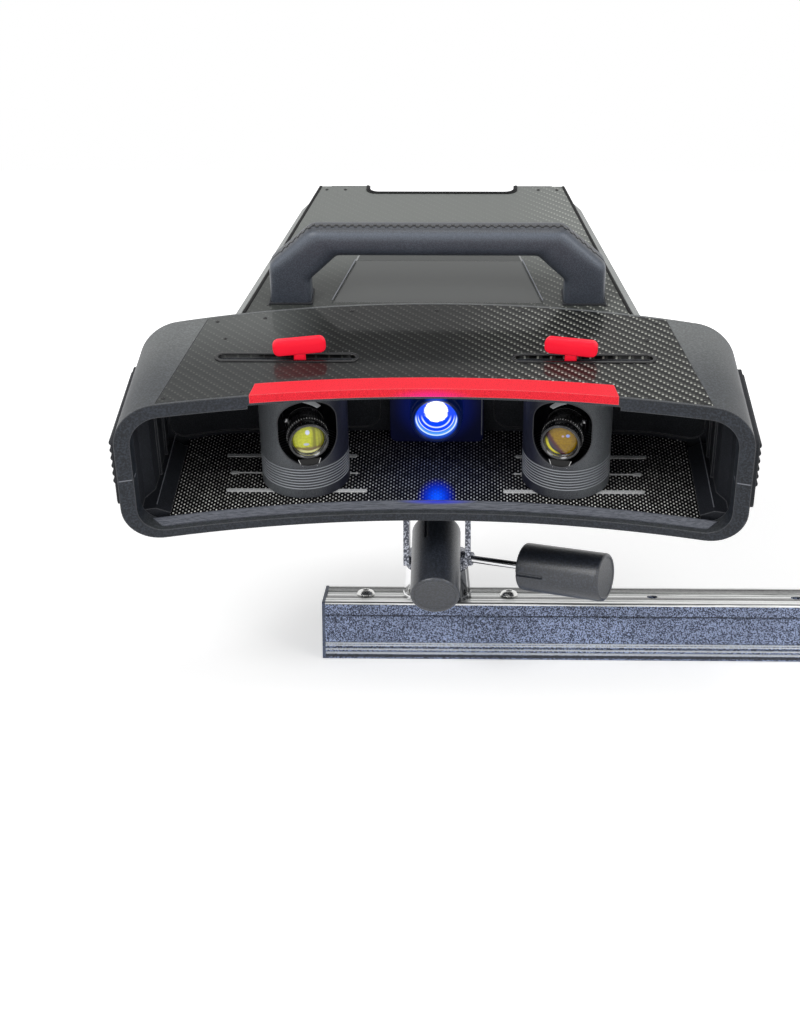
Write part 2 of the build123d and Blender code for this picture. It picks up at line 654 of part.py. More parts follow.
def roll_knob():
    """Fluted clamping knob behind the roll hinge."""
    near = ROLL_LUG_LENGTH / 2 + 2 * BODY_GAP + ROLL_EAR_LENGTH
    knob = bar_y(ROLL_KNOB_RADIUS, near, near + ROLL_KNOB_LENGTH, 0, ROLL_AXIS_RISE)
    for index in range(ROLL_KNOB_FLUTES):
        turn = 2 * math.pi * index / ROLL_KNOB_FLUTES
        x = (ROLL_KNOB_RADIUS + ROLL_KNOB_FLUTE_REACH) * math.cos(turn)
        z = ROLL_AXIS_RISE + (ROLL_KNOB_RADIUS + ROLL_KNOB_FLUTE_REACH) * math.sin(turn)
        knob -= bar_y(ROLL_KNOB_FLUTE_RADIUS, near - 1, near + ROLL_KNOB_LENGTH + 1, x, z)
    return knob - bar_y(ROLL_STUD_RADIUS + RUNNING_FIT, near - 1, near + ROLL_STUD_LENGTH, 0, ROLL_AXIS_RISE)


def mount_plate():
    """Metal plate under the scanner that the head's top plate is screwed to."""
    outline = RectangleRounded(MOUNT_PLATE_WIDTH, MOUNT_PLATE_DEPTH, MOUNT_PLATE_CORNER)
    plate = Pos(0, TILT_AXIS_Y, -MOUNT_PLATE_THICKNESS) * extrude(outline, MOUNT_PLATE_THICKNESS)
    for x, y in mount_screw_places():
        plate -= bar_z(MOUNT_SCREW_RADIUS, -MOUNT_PLATE_THICKNESS - 1, 1, x, y)
    return plate - bar_z(CAMERA_SCREW_RADIUS, -MOUNT_PLATE_THICKNESS - 1, 1, 0, TILT_AXIS_Y)


def mount_screw_places():
    """Plan places of the four screws of the mount plate."""
    x = MOUNT_PLATE_WIDTH / 2 - MOUNT_SCREW_INSET
    y = MOUNT_PLATE_DEPTH / 2 - MOUNT_SCREW_INSET
    return [(sx * x, TILT_AXIS_Y + sy * y) for sx in (-1, 1) for sy in (-1, 1)]


def mount_screws():
    """Cap screws of the mount plate and the middle screw that holds the head's top plate."""
    screws = []
    for x, y in mount_screw_places():
        head = bar_z(
            MOUNT_SCREW_HEAD_RADIUS, -MOUNT_PLATE_THICKNESS - MOUNT_SCREW_HEAD_HEIGHT,
            -MOUNT_PLATE_THICKNESS, x, y)
        screws += (head + bar_z(MOUNT_SCREW_RADIUS, -MOUNT_PLATE_THICKNESS, 0, x, y)).solids()
    low = -MOUNT_PLATE_THICKNESS - ROLL_PLATE_THICKNESS
    screws += bar_z(CAMERA_SCREW_RADIUS, low, 0, 0, TILT_AXIS_Y).solids()
    return Compound(screws)


# ------------------------------------------------------------------ hood shells
def hood_form():
    """Outer form of the hood: an arc-shaped plan with a rounded section."""
    return hood_prism(0, 0) & rounded_section(HOOD_HALF_WIDTH, 0, HOOD_HEIGHT, HOOD_CORNER_RADIUS)


def hood_hollow():
    """Space inside the hood: the mouth inside the rim and the wider room behind it."""
    mouth_half = HOOD_HALF_WIDTH - RIM_SIDE
    mouth = hood_prism(-1, REAR_WALL)
    mouth &= rounded_section(mouth_half, RIM_BOTTOM, HOOD_HEIGHT - RIM_TOP, RIM_INNER_RADIUS)
    room_half = HOOD_HALF_WIDTH - SHELL_WALL
    room_top = HOOD_HEIGHT - 2 * PANEL_THICKNESS
    room = hood_prism(RIM_DEPTH, REAR_WALL)
    room &= rounded_section(room_half, RIM_BOTTOM, room_top, HOOD_CORNER_RADIUS - SHELL_WALL)
    half = STRIP_FRONT_HALF + STRIP_RIM
    head_room = hood_prism(-1, HOOD_DEPTH / 2)
    head_room &= block(-half, half, -HOOD_DEPTH, HOOD_DEPTH, HOOD_SEAM_Z, HOOD_HEIGHT - STRIP_FACE - STRIP_RIM)
    passage = block(
        -REAR_PASSAGE_HALF_WIDTH, REAR_PASSAGE_HALF_WIDTH,
        HOOD_DEPTH / 2, HOOD_DEPTH + 1, REAR_PASSAGE_LOW, REAR_PASSAGE_HIGH)
    return mouth + room + head_room + passage


def panel_region(grow, z_low, z_high):
    """Plan of the hood's top panel, grown by a joint gap."""
    points = mirrored_outline([
        (PANEL_FRONT_HALF + grow, front_y(PANEL_FRONT_HALF)),
        (PANEL_REAR_HALF + grow, rear_y(PANEL_REAR_HALF)),
    ], [(0, 2 * HOOD_DEPTH)])
    body = prism(points, z_low, z_high)
    body &= rear_disc(PANEL_REAR_SETBACK - grow, z_low, z_high)
    return body - front_disc(PANEL_FRONT_SETBACK - grow, z_low - 1, z_high + 1)


def strip_region(grow, z_low, z_high):
    """Plan of the front trim strip, grown by a joint gap."""
    half = STRIP_FRONT_HALF + grow
    back_half = STRIP_REAR_HALF + grow
    points = mirrored_outline([
        (half, front_y(half) - 2),
        (half, front_y(half)),
        (back_half, front_y(back_half) + STRIP_DEPTH + grow),
    ], [(0, 2 * STRIP_DEPTH)])
    body = prism(points, z_low, z_high) & front_disc(STRIP_DEPTH + grow, z_low, z_high)
    return body - front_disc(0, z_low - 1, z_high + 1)


def knob_slots(grow, z_low, z_high):
    """The two slots of the sliding knobs, grown by a wall."""
    slots = []
    for side in (-1, 1):
        x_low, x_high = sorted((side * SLOT_INNER_X, side * SLOT_OUTER_X))
        slots.append(slot_prism(x_low - grow, x_high + grow, SLOT_Y, SLOT_WIDTH + 2 * grow, z_low, z_high))
    return slots[0] + slots[1]


def lower_shell():
    """Lower half of the hood: rim, floor tray and lower side walls."""
    below = block(-HOOD_HALF_WIDTH - 1, HOOD_HALF_WIDTH + 1, -HOOD_DEPTH, 2 * HOOD_DEPTH, -1, HOOD_SEAM_Z)
    return (hood_form() & below) - hood_hollow()


def upper_shell():
    """Upper half of the hood with the recesses for the top panel and the trim strip."""
    above = block(
        -HOOD_HALF_WIDTH - 1, HOOD_HALF_WIDTH + 1,
        -HOOD_DEPTH, 2 * HOOD_DEPTH, HOOD_SEAM_Z + SEAT_GAP, HOOD_HEIGHT + 1)
    shell = (hood_form() & above) - hood_hollow()
    shell -= panel_region(INLAY_GAP, HOOD_HEIGHT - PANEL_THICKNESS, HOOD_HEIGHT + 1)
    shell -= strip_region(INLAY_GAP, HOOD_HEIGHT - STRIP_PLATE, HOOD_HEIGHT + 1)
    lip = strip_region(INLAY_GAP, HOOD_HEIGHT - STRIP_FACE, HOOD_HEIGHT + 1)
    shell -= lip & front_disc(STRIP_LIP_LENGTH + INLAY_GAP, 0, HOOD_HEIGHT + 1)
    return shell - knob_slots(0, HOOD_HEIGHT / 2, HOOD_HEIGHT + 1)


def top_panel():
    """Flush top panel between the split lines, with the knob slots and the strip's notch."""
    low = HOOD_HEIGHT - PANEL_THICKNESS
    panel = panel_region(0, low, HOOD_HEIGHT)
    panel -= strip_region(INLAY_GAP, low - 1, HOOD_HEIGHT + 1)
    return panel - knob_slots(0, low - 1, HOOD_HEIGHT + 1)


def trim_strip():
    """Coloured strip over the middle of the front rim, with a turned-down front lip."""
    top = HOOD_HEIGHT + STRIP_PROUD
    strip = strip_region(0, HOOD_HEIGHT - STRIP_PLATE, top)
    lip = strip_region(0, HOOD_HEIGHT - STRIP_FACE, top) & front_disc(STRIP_LIP_LENGTH, 0, top + 1)
    return strip + lip


def slot_liners():
    """Gloss surrounds of the knob slots."""
    inset = SLOT_LINER_WALL
    low = HOOD_HEIGHT - PANEL_THICKNESS
    top = HOOD_HEIGHT + SLOT_LINER_PROUD
    sleeve = knob_slots(-SEAT_GAP, low, top) + knob_slots(SLOT_LINER_FLANGE, HOOD_HEIGHT, top)
    return sleeve - knob_slots(-inset, low - 1, top + 1)


# ------------------------------------------------------------------ inside the hood
def bulkhead_space(depth, end_wall, z_low, z_high):
    """Space ahead of an arc depth behind the bulkhead's face and ahead of the hood's rear wall."""
    shallow = bar_z(BULKHEAD_RADIUS + depth, z_low, z_high, 0, BULKHEAD_Y - BULKHEAD_RADIUS)
    return shallow & rear_disc(REAR_WALL + SEAT_GAP + end_wall, z_low, z_high)


def floor_region(inset, z_low, z_high):
    """Plan of the floor between the ledge and the bulkhead, drawn in by a wall."""
    half = FLOOR_HALF_WIDTH - inset
    limits = block(-half, half, -HOOD_DEPTH, HOOD_DEPTH, z_low, z_high)
    ahead = bulkhead_space(-inset, BULKHEAD_END_WALL + inset, z_low, z_high)
    return (limits & ahead) - front_disc(FLOOR_FRONT_Y + inset, z_low - 1, z_high + 1)


def floor_plate():
    """Sheet floor of the hood with a skirt that stands on the lower shell."""
    outer = floor_region(0, RIM_BOTTOM, FLOOR_Z)
    return outer - floor_region(FLOOR_SHEET, RIM_BOTTOM - 1, FLOOR_Z - FLOOR_SHEET)


def guide_bars():
    """Raised bars that the turrets slide along, and between them a thin wire with a rounded end."""
    top = FLOOR_Z + GUIDE_BAR_HEIGHT
    bars = []
    for y, x_low, x_high in GUIDE_BARS:
        bars += slot_prism(x_low, x_high, y, GUIDE_BAR_WIDTH, FLOOR_Z, top).solids()
    wire_end = slot_prism(
        GUIDE_WIRE_OUTER_X - GUIDE_WIRE_END_LENGTH, GUIDE_WIRE_OUTER_X, GUIDE_WIRE_Y, GUIDE_BAR_WIDTH, FLOOR_Z, top)
    wire = slot_prism(
        GUIDE_WIRE_INNER_X, GUIDE_WIRE_OUTER_X - GUIDE_BAR_WIDTH, GUIDE_WIRE_Y, GUIDE_WIRE_WIDTH, FLOOR_Z, top)
    bars += (wire + wire_end).solids()
    return both_sides(Compound(bars))


def front_ledge():
    """Sloping ledge between the rim and the floor, turned about the front arc's centre, with cut ends."""
    radius = HOOD_FRONT_RADIUS
    profile = Polyline(
        (radius + LEDGE_FRONT_Y, RIM_BOTTOM),
        (radius + FLOOR_FRONT_Y, RIM_BOTTOM),
        (radius + FLOOR_FRONT_Y, FLOOR_Z),
        (radius + FLOOR_FRONT_Y - LEDGE_REAR_LAND, FLOOR_Z),
        (radius + LEDGE_FRONT_Y, RIM_BOTTOM + LEDGE_FRONT_HEIGHT),
        close=True,
    )
    half_angle = math.degrees(math.asin(LEDGE_REAR_HALF / radius))
    ring = revolve(Plane.XZ * make_face(profile), Axis.Z, 2 * half_angle)
    ledge = Pos(0, -radius, 0) * Rot(0, 0, 90 - half_angle) * ring
    ledge &= prism(mirrored_outline([
        (LEDGE_FRONT_HALF, -HOOD_DEPTH),
        (LEDGE_FRONT_HALF, front_y(LEDGE_FRONT_HALF) + LEDGE_FRONT_Y),
        (LEDGE_REAR_HALF, front_y(LEDGE_REAR_HALF) + FLOOR_FRONT_Y),
        (LEDGE_REAR_HALF, HOOD_DEPTH),
    ]), 0, HOOD_HEIGHT)
    mouth_top = HOOD_HEIGHT - RIM_TOP
    return ledge & rounded_section(HOOD_HALF_WIDTH - RIM_SIDE, RIM_BOTTOM, mouth_top, RIM_INNER_RADIUS)


def bulkhead():
    """Rear wall of the hood's room, on a shallow arc between the rear walls, with two rounded recesses."""
    half = HOOD_HALF_WIDTH - SHELL_WALL - SEAT_GAP
    top = HOOD_HEIGHT - 2 * PANEL_THICKNESS - SEAT_GAP
    wall = bulkhead_space(BULKHEAD_THICKNESS, 0, RIM_BOTTOM, top)
    wall &= block(-half, half, 0, HOOD_DEPTH, RIM_BOTTOM, top)
    wall -= bulkhead_space(0, BULKHEAD_END_WALL, RIM_BOTTOM - 1, top + 1)
    wall &= rounded_section(half, RIM_BOTTOM, top, HOOD_CORNER_RADIUS - SHELL_WALL - SEAT_GAP)
    middle_x = (BULKHEAD_RECESS_INNER_X + BULKHEAD_RECESS_OUTER_X) / 2
    middle_z = (BULKHEAD_RECESS_LOW + BULKHEAD_RECESS_HIGH) / 2
    outline = RectangleRounded(
        BULKHEAD_RECESS_OUTER_X - BULKHEAD_RECESS_INNER_X,
        BULKHEAD_RECESS_HIGH - BULKHEAD_RECESS_LOW, BULKHEAD_RECESS_RADIUS)
    pocket = extrude(Plane.XZ * (Pos(middle_x, middle_z) * outline), -2 * BULKHEAD_Y)
    shallow = bulkhead_space(
        BULKHEAD_RECESS_DEPTH, BULKHEAD_END_WALL - BULKHEAD_RECESS_DEPTH, 0, HOOD_HEIGHT)
    wall -= both_sides(pocket) & shallow
    throat = bar_y(PROJECTOR_THROAT_RADIUS, 0, 2 * BULKHEAD_Y, 0, PROJECTOR_LENS_Z)
    return wall - throat


def side_liner():
    """Inner cheek of the right side with upright ribs and a sloping kerb along the floor's edge."""
    outer = HOOD_HALF_WIDTH - SHELL_WALL - SEAT_GAP
    front = front_y(outer)
    rear = rear_y(outer) - REAR_WALL - BULKHEAD_END_WALL - LINER_REAR_GAP
    points = [
        (outer, front),
        (LINER_FRONT_X, front),
        (LINER_FRONT_X, LINER_FRONT_Y),
        (LINER_FACE_X, LINER_BEND_Y),
        (LINER_FACE_X, rear),
        (outer, rear),
    ]
    liner = prism(points, RIM_BOTTOM, LINER_TOP_Z)
    for y in LINER_RIB_YS:
        liner += block(
            LINER_FACE_X - LINER_RIB_HEIGHT, outer, y, y + LINER_RIB_THICKNESS, RIM_BOTTOM, LINER_TOP_Z)
    floor_edge = FLOOR_HALF_WIDTH + SEAT_GAP
    kerb = Polyline(
        (floor_edge, RIM_BOTTOM),
        (floor_edge, FLOOR_Z + SEAT_GAP),
        (floor_edge + KERB_WIDTH, FLOOR_Z + KERB_HEIGHT),
        (outer, FLOOR_Z + KERB_HEIGHT),
        (outer, RIM_BOTTOM),
        close=True,
    )
    liner += Pos(0, rear, 0) * extrude(Plane.XZ * make_face(kerb), rear - front)
    liner -= front_disc(RIM_DEPTH + SEAT_GAP, 0, HOOD_HEIGHT)
    top = HOOD_HEIGHT - 2 * PANEL_THICKNESS - SEAT_GAP
    return liner & rounded_section(outer, RIM_BOTTOM, top, HOOD_CORNER_RADIUS - SHELL_WALL - SEAT_GAP)


# ------------------------------------------------------------------ projector
def projector_housing():
    """Housing of the projector between floor and ceiling of the hood, against the bulkhead."""
    outline = RectangleRounded(2 * PROJECTOR_HALF_WIDTH, PROJECTOR_TOP_Z - FLOOR_Z, PROJECTOR_CORNER)
    middle = (PROJECTOR_TOP_Z + FLOOR_Z) / 2
    box = extrude(
        Plane(origin=(0, PROJECTOR_FRONT_Y, middle), x_dir=(1, 0, 0), z_dir=(0, -1, 0)) * outline,
        -(BULKHEAD_Y - PROJECTOR_FRONT_Y))
    box &= bulkhead_space(0, BULKHEAD_END_WALL, 0, HOOD_HEIGHT)
    return box - bar_y(PROJECTOR_THROAT_RADIUS, 0, BULKHEAD_Y + 1, 0, PROJECTOR_LENS_Z)


def projector_lens_barrel():
    """Stepped ring of the projector lens."""
    step_y = PROJECTOR_LENS_FRONT_Y + PROJECTOR_BEZEL_LENGTH
    bezel_radius = PROJECTOR_LENS_RADIUS - PROJECTOR_BEZEL_STEP
    barrel = bar_y(bezel_radius, PROJECTOR_LENS_FRONT_Y, step_y, 0, PROJECTOR_LENS_Z)
    barrel += bar_y(PROJECTOR_LENS_RADIUS, step_y, PROJECTOR_FRONT_Y, 0, PROJECTOR_LENS_Z)
    glass_back = PROJECTOR_LENS_FRONT_Y + PROJECTOR_GLASS_SETBACK + PROJECTOR_GLASS_THICKNESS
    barrel -= bar_y(PROJECTOR_GLASS_RADIUS, 0, glass_back, 0, PROJECTOR_LENS_Z)
    return barrel - bar_y(PROJECTOR_THROAT_RADIUS, 0, PROJECTOR_FRONT_Y + 1, 0, PROJECTOR_LENS_Z)


def projector_glass():
    """Front glass of the projector lens."""
    near = PROJECTOR_LENS_FRONT_Y + PROJECTOR_GLASS_SETBACK
    return bar_y(PROJECTOR_GLASS_RADIUS, near, near + PROJECTOR_GLASS_THICKNESS, 0, PROJECTOR_LENS_Z)


def light_engine():
    """Projector light engine behind the bulkhead."""
    low = PROJECTOR_LENS_Z - ENGINE_HEIGHT / 2
    half = ENGINE_WIDTH / 2
    near = BULKHEAD_Y + BULKHEAD_THICKNESS
    return block(-half, half, near, ENGINE_REAR_Y, low, low + ENGINE_HEIGHT)


def heatsink():
    """Finned heat sink on the rear of the light engine."""
    low = PROJECTOR_LENS_Z - ENGINE_HEIGHT / 2
    half = ENGINE_WIDTH / 2
    sink = block(-half, half, ENGINE_REAR_Y, ENGINE_REAR_Y + HEATSINK_BASE, low, low + ENGINE_HEIGHT)
    pitch = (ENGINE_WIDTH - HEATSINK_FIN) / (HEATSINK_FINS - 1)
    for index in range(HEATSINK_FINS):
        x = -half + index * pitch
        sink += block(x, x + HEATSINK_FIN, ENGINE_REAR_Y, HEATSINK_REAR_Y, low, low + ENGINE_HEIGHT)
    return sink


# ------------------------------------------------------------------ camera turrets
def turret():
    """Turned camera housing with grooves round its foot and a rounded window."""
    foot = TURRET_BASE_Z
    points = [(0, foot), (TURRET_RADIUS, foot)]
    for index in range(TURRET_GROOVES):
        level = foot + TURRET_GROOVE_START + index * TURRET_GROOVE_PITCH
        points.append((TURRET_RADIUS, level))
        points.append((TURRET_RADIUS - TURRET_GROOVE_DEPTH, level + TURRET_GROOVE_WIDTH / 2))
        points.append((TURRET_RADIUS, level + TURRET_GROOVE_WIDTH))
    points.append((TURRET_RADIUS, TURRET_TOP_Z))
    points.append((0, TURRET_TOP_Z))
    body = revolve(Plane.XZ * make_face(Polyline(*points, close=True)), Axis.Z)
    body -= bar_z(TURRET_RADIUS - TURRET_WALL, foot + TURRET_WALL, TURRET_TOP_Z - TURRET_WALL)
    outline = RectangleRounded(WINDOW_WIDTH, WINDOW_HEIGHT, WINDOW_WIDTH / 2 - SEAT_GAP)
    middle = WINDOW_LOW_Z + WINDOW_HEIGHT / 2
    window = extrude(Plane.XZ * (Pos(0, middle) * outline), 2 * TURRET_RADIUS)
    return body - window


def camera_block():
    """Camera body behind the lens, standing on a post in the turret."""
    near = LENS_MOUNT_LENGTH
    half = CAMERA_WIDTH / 2
    low = LENS_Z - CAMERA_HEIGHT / 2
    body = block(-half, half, near, near + CAMERA_LENGTH, low, low + CAMERA_HEIGHT)
    return body + bar_z(CAMERA_POST_RADIUS, TURRET_BASE_Z + TURRET_WALL, low, 0, near + CAMERA_LENGTH / 2)


def lens_barrel():
    """Fixed lens tube: front bezel, inner tube and mount."""
    front = -LENS_FRONT_REACH
    tube = bar_y(LENS_BARREL_RADIUS, front, LENS_MOUNT_LENGTH, 0, LENS_Z)
    tube += bar_y(LENS_BEZEL_RADIUS, front, front + LENS_BEZEL_LENGTH, 0, LENS_Z)
    iris_end = front + LENS_BEZEL_LENGTH + FOCUS_RING_LENGTH + IRIS_RING_LENGTH + 3 * BODY_GAP
    tube += bar_y(LENS_BEZEL_RADIUS, iris_end, LENS_MOUNT_LENGTH, 0, LENS_Z)
    glass_back = front + LENS_GLASS_SETBACK + LENS_GLASS_THICKNESS
    return tube - bar_y(LENS_GLASS_RADIUS, front - 1, glass_back, 0, LENS_Z)


def lens_ring(radius, near, length):
    """Knurled ring that turns on the lens tube."""
    ring = bar_y(radius, near, near + length, 0, LENS_Z)
    return ring - bar_y(LENS_BARREL_RADIUS + RUNNING_FIT, near - 1, near + length + 1, 0, LENS_Z)


def focus_ring():
    """Focus ring behind the bezel."""
    return lens_ring(FOCUS_RING_RADIUS, LENS_BEZEL_LENGTH - LENS_FRONT_REACH + BODY_GAP, FOCUS_RING_LENGTH)


def iris_ring():
    """Iris ring behind the focus ring."""
    near = LENS_BEZEL_LENGTH - LENS_FRONT_REACH + FOCUS_RING_LENGTH + 2 * BODY_GAP
    return lens_ring(IRIS_RING_RADIUS, near, IRIS_RING_LENGTH)


def lens_glass():
    """Front element with a domed face."""
    near = LENS_GLASS_SETBACK - LENS_FRONT_REACH
    ball_radius = (LENS_GLASS_RADIUS ** 2 + LENS_GLASS_DOME ** 2) / (2 * LENS_GLASS_DOME)
    disc = bar_y(LENS_GLASS_RADIUS, near, near + LENS_GLASS_THICKNESS, 0, LENS_Z)
    return disc & Pos(0, near + ball_radius, LENS_Z) * Sphere(ball_radius)


def slide_knob():
    """T-shaped knob on the turret's top, through the panel's slot."""
    half = KNOB_STEM_WIDTH / 2
    depth = KNOB_STEM_DEPTH / 2
    y = (SLOT_Y - TURRET_Y) / math.cos(math.radians(TOE_IN))
    head_low = HOOD_HEIGHT + KNOB_HEAD_LIFT
    stem = block(-half, half, y - depth, y + depth, TURRET_TOP_Z, head_low + KNOB_EDGE)
    outline = RectangleRounded(KNOB_HEAD_WIDTH, KNOB_HEAD_HEIGHT, KNOB_CORNER)
    plate = extrude(Plane.XZ * outline, KNOB_HEAD_DEPTH / 2, both=True)
    plate = chamfer(plate.faces().filter_by(Axis.Y).edges(), KNOB_EDGE)
    head = Pos(0, y, head_low) * Rot(-KNOB_LEAN, 0, 0) * Pos(0, 0, KNOB_HEAD_HEIGHT / 2) * plate
    return stem + head


# ------------------------------------------------------------------ outside trim
def side_pad():
    """Ridged grip pad of the right outer wall."""
    middle_y = (PAD_FRONT_Y + PAD_REAR_Y) / 2
    middle_z = (PAD_LOW_Z + PAD_HIGH_Z) / 2
    outline = RectangleRounded(PAD_REAR_Y - PAD_FRONT_Y, PAD_HIGH_Z - PAD_LOW_Z, PAD_CORNER)
    plane = Plane(origin=(HOOD_HALF_WIDTH, middle_y, middle_z), x_dir=(0, 1, 0), z_dir=(1, 0, 0))
    pad = extrude(plane * outline, PAD_THICKNESS)
    for index in range(PAD_RIDGE_COUNT):
        z = PAD_HIGH_Z - PAD_RIDGE_INSET - index * PAD_RIDGE_PITCH
        pad += bar_y(
            PAD_RIDGE_HEIGHT, PAD_FRONT_Y + PAD_CORNER, PAD_REAR_Y - PAD_CORNER,
            HOOD_HALF_WIDTH + PAD_THICKNESS, z)
    return pad


# ------------------------------------------------------------------ rear body
def rear_edge_x(y):
    """Half width of the rear panel at a given Y."""
    share = (y - HOOD_DEPTH) / (REAR_END_Y - HOOD_DEPTH)
    return REAR_PANEL_FRONT_HALF + share * (REAR_PANEL_END_HALF - REAR_PANEL_FRONT_HALF)


def behind_hood(z_low, z_high):
    """Space taken up by the hood, to be cut off what lies behind it."""
    return rear_disc(-SEAT_GAP, z_low, z_high)


def rear_outline(inset):
    """Plan of the rear body with its cut corners, drawn in by a wall."""
    corner_x = rear_edge_x(REAR_CORNER_Y) + REAR_SLOPE
    front_half = rear_edge_x(HOOD_DEPTH / 2) + REAR_SLOPE
    return mirrored_outline([
        (front_half - inset, HOOD_DEPTH / 2),
        (corner_x - inset, REAR_CORNER_Y),
        (corner_x - REAR_CORNER_CUT_X - inset, REAR_END_Y - inset),
    ])


def rear_bay(grow, z_low, z_high):
    """Bay in the rear end, open to the top and the back."""
    points = [
        (-NOTCH_HALF_WIDTH - grow, REAR_END_Y + 1),
        (-NOTCH_HALF_WIDTH - grow, REAR_END_Y - NOTCH_DEPTH - grow),
        (NOTCH_HALF_WIDTH + grow, REAR_END_Y - NOTCH_DEPTH - grow),
        (NOTCH_HALF_WIDTH + grow, REAR_END_Y + 1),
    ]
    bay = prism(points, z_low, z_high)
    uprights = bay.edges().filter_by(Axis.Z).group_by(Axis.Y)[0]
    return fillet(uprights, NOTCH_CORNER + grow)


def rear_shell():
    """Rear body: hollow from below, with sloped upper edges and a bay in its rear end."""
    outline = rear_outline(0)
    low_part = prism(outline, 0, REAR_HEIGHT)
    top_edges = low_part.faces().sort_by(Axis.Z)[-1].edges()
    side_edges = [edge for edge in top_edges if abs(edge.center().X) > NOTCH_HALF_WIDTH]
    body = chamfer(side_edges, REAR_SLOPE)
    body -= behind_hood(-1, REAR_HEIGHT + 1)
    hollow = prism(rear_outline(REAR_SHELL_WALL), -1, REAR_HEIGHT - REAR_CEILING)
    hollow_edges = hollow.faces().sort_by(Axis.Z)[-1].edges()
    side_edges = [edge for edge in hollow_edges if abs(edge.center().X) > NOTCH_HALF_WIDTH]
    hollow = chamfer(side_edges, REAR_INNER_SLOPE)
    hollow -= rear_bay(REAR_SHELL_WALL, -2, REAR_HEIGHT + 1)
    body -= hollow
    body -= rear_bay(0, -1, REAR_HEIGHT + 1)
    body -= grille_slots()
    for x, z, width, height in socket_places():
        body -= end_wall_box(x, z, width, height, 1, REAR_SHELL_WALL + 1)
    return body - rear_panel_region(INLAY_GAP, REAR_HEIGHT - PANEL_THICKNESS, REAR_HEIGHT + 1)


def grille_slots():
    """Slots through the bay's wall in front of the fan, as long as the fan's bore is wide."""
    slots = None
    for index in range(GRILLE_SLOTS):
        rise = (index - (GRILLE_SLOTS - 1) / 2) * GRILLE_SLOT_PITCH
        half = math.sqrt((FAN_BORE_RADIUS - 1) ** 2 - rise ** 2)
        outline = Pos(FAN_X, FAN_Z + rise) * SlotOverall(2 * half, GRILLE_SLOT_HEIGHT)
        slot = Pos(0, bay_wall_y() - 1, 0) * extrude(Plane.XZ * outline, -REAR_SHELL_WALL - 2)
        slots = slot if slots is None else slots + slot
    return slots


def socket_places():
    """X, Z, width and height of each opening in the rear end wall."""
    places = [(INLET_X, INLET_Z, INLET_WIDTH, INLET_HEIGHT)]
    places += [(DATA_X, z, DATA_WIDTH, DATA_HEIGHT) for z in DATA_ZS]
    places.append((SWITCH_X, SWITCH_Z, SWITCH_WIDTH, SWITCH_HEIGHT))
    return places


def end_wall_box(x, z, width, height, proud, depth):
    """Block through the rear end wall, from proud behind it to depth inside."""
    return block(
        x - width / 2, x + width / 2, REAR_END_Y - depth, REAR_END_Y + proud,
        z - height / 2, z + height / 2)


def rear_sockets():
    """Power inlet, data sockets and the switch's frame in the rear end wall."""
    pieces = []
    for x, z, width, height in socket_places():
        is_switch = (x, z) == (SWITCH_X, SWITCH_Z)
        body = end_wall_box(
            x, z, width - 2 * SEAT_GAP, height - 2 * SEAT_GAP, SOCKET_PROUD, SOCKET_DEPTH)
        body += end_wall_box(
            x, z, width + 2 * SOCKET_FLANGE, height + 2 * SOCKET_FLANGE, SOCKET_PROUD, 0)
        depth = SWITCH_BODY_DEPTH if is_switch else SOCKET_DEPTH - SOCKET_RIM
        body -= end_wall_box(
            x, z, width - 2 * SOCKET_RIM, height - 2 * SOCKET_RIM, SOCKET_PROUD + 1, depth)
        if is_switch:
            body -= switch_axle(SWITCH_AXLE_RADIUS + RUNNING_FIT, 0)
        pieces += body.solids()
    return Compound(pieces)


def switch_axle(radius, inset):
    """Cross axle of the rocker key, held in the switch's frame."""
    half = SWITCH_WIDTH / 2 - SEAT_GAP - inset
    y = REAR_END_Y - SWITCH_AXLE_SETBACK
    return bar_x(radius, SWITCH_X - half, SWITCH_X + half, y, SWITCH_Z)


def power_switch():
    """Rocker key on its cross axle, resting with its upper end pressed in."""
    half_width = SWITCH_WIDTH / 2 - SOCKET_RIM - BODY_GAP
    half_height = SWITCH_HEIGHT / 2 - SOCKET_RIM - 3 * BODY_GAP
    outline = Polyline(
        (REAR_END_Y - SWITCH_BODY_DEPTH / 2, -half_height),
        (REAR_END_Y + SWITCH_PROUD, -half_height),
        (REAR_END_Y + SOCKET_PROUD, 0),
        (REAR_END_Y + SWITCH_PROUD, half_height),
        (REAR_END_Y - SWITCH_BODY_DEPTH / 2, half_height),
        close=True,
    )
    plane = Plane(origin=(SWITCH_X - half_width, 0, 0), x_dir=(0, 1, 0), z_dir=(1, 0, 0))
    key = extrude(plane * make_face(outline), 2 * half_width)
    axle_y = REAR_END_Y - SWITCH_AXLE_SETBACK
    turned = Pos(0, axle_y, SWITCH_Z) * Rot(SWITCH_THROW / 2, 0, 0) * Pos(0, -axle_y, 0) * key
    return turned + switch_axle(SWITCH_AXLE_RADIUS, SEAT_GAP)


def rear_panel_region(grow, z_low, z_high):
    """Plan of the rear top panel, grown by a joint gap."""
    near = HOOD_DEPTH / 2
    far = REAR_END_Y - REAR_PANEL_BORDER + grow
    inner = REAR_PANEL_BORDER - grow
    points = mirrored_outline([(rear_edge_x(near) - inner, near), (rear_edge_x(far) - inner, far)])
    return prism(points, z_low, z_high) - behind_hood(z_low - 1, z_high + 1)


def rear_panel():
    """Carbon top panel of the rear body, with the bay's notch and the centre cover's recess."""
    low = REAR_HEIGHT - PANEL_THICKNESS
    panel = rear_panel_region(0, low, REAR_HEIGHT)
    panel -= rear_bay(0, low - 1, REAR_HEIGHT + 1)
    return panel - cover_region(INLAY_GAP, REAR_HEIGHT - COVER_THICKNESS, REAR_HEIGHT + 1)


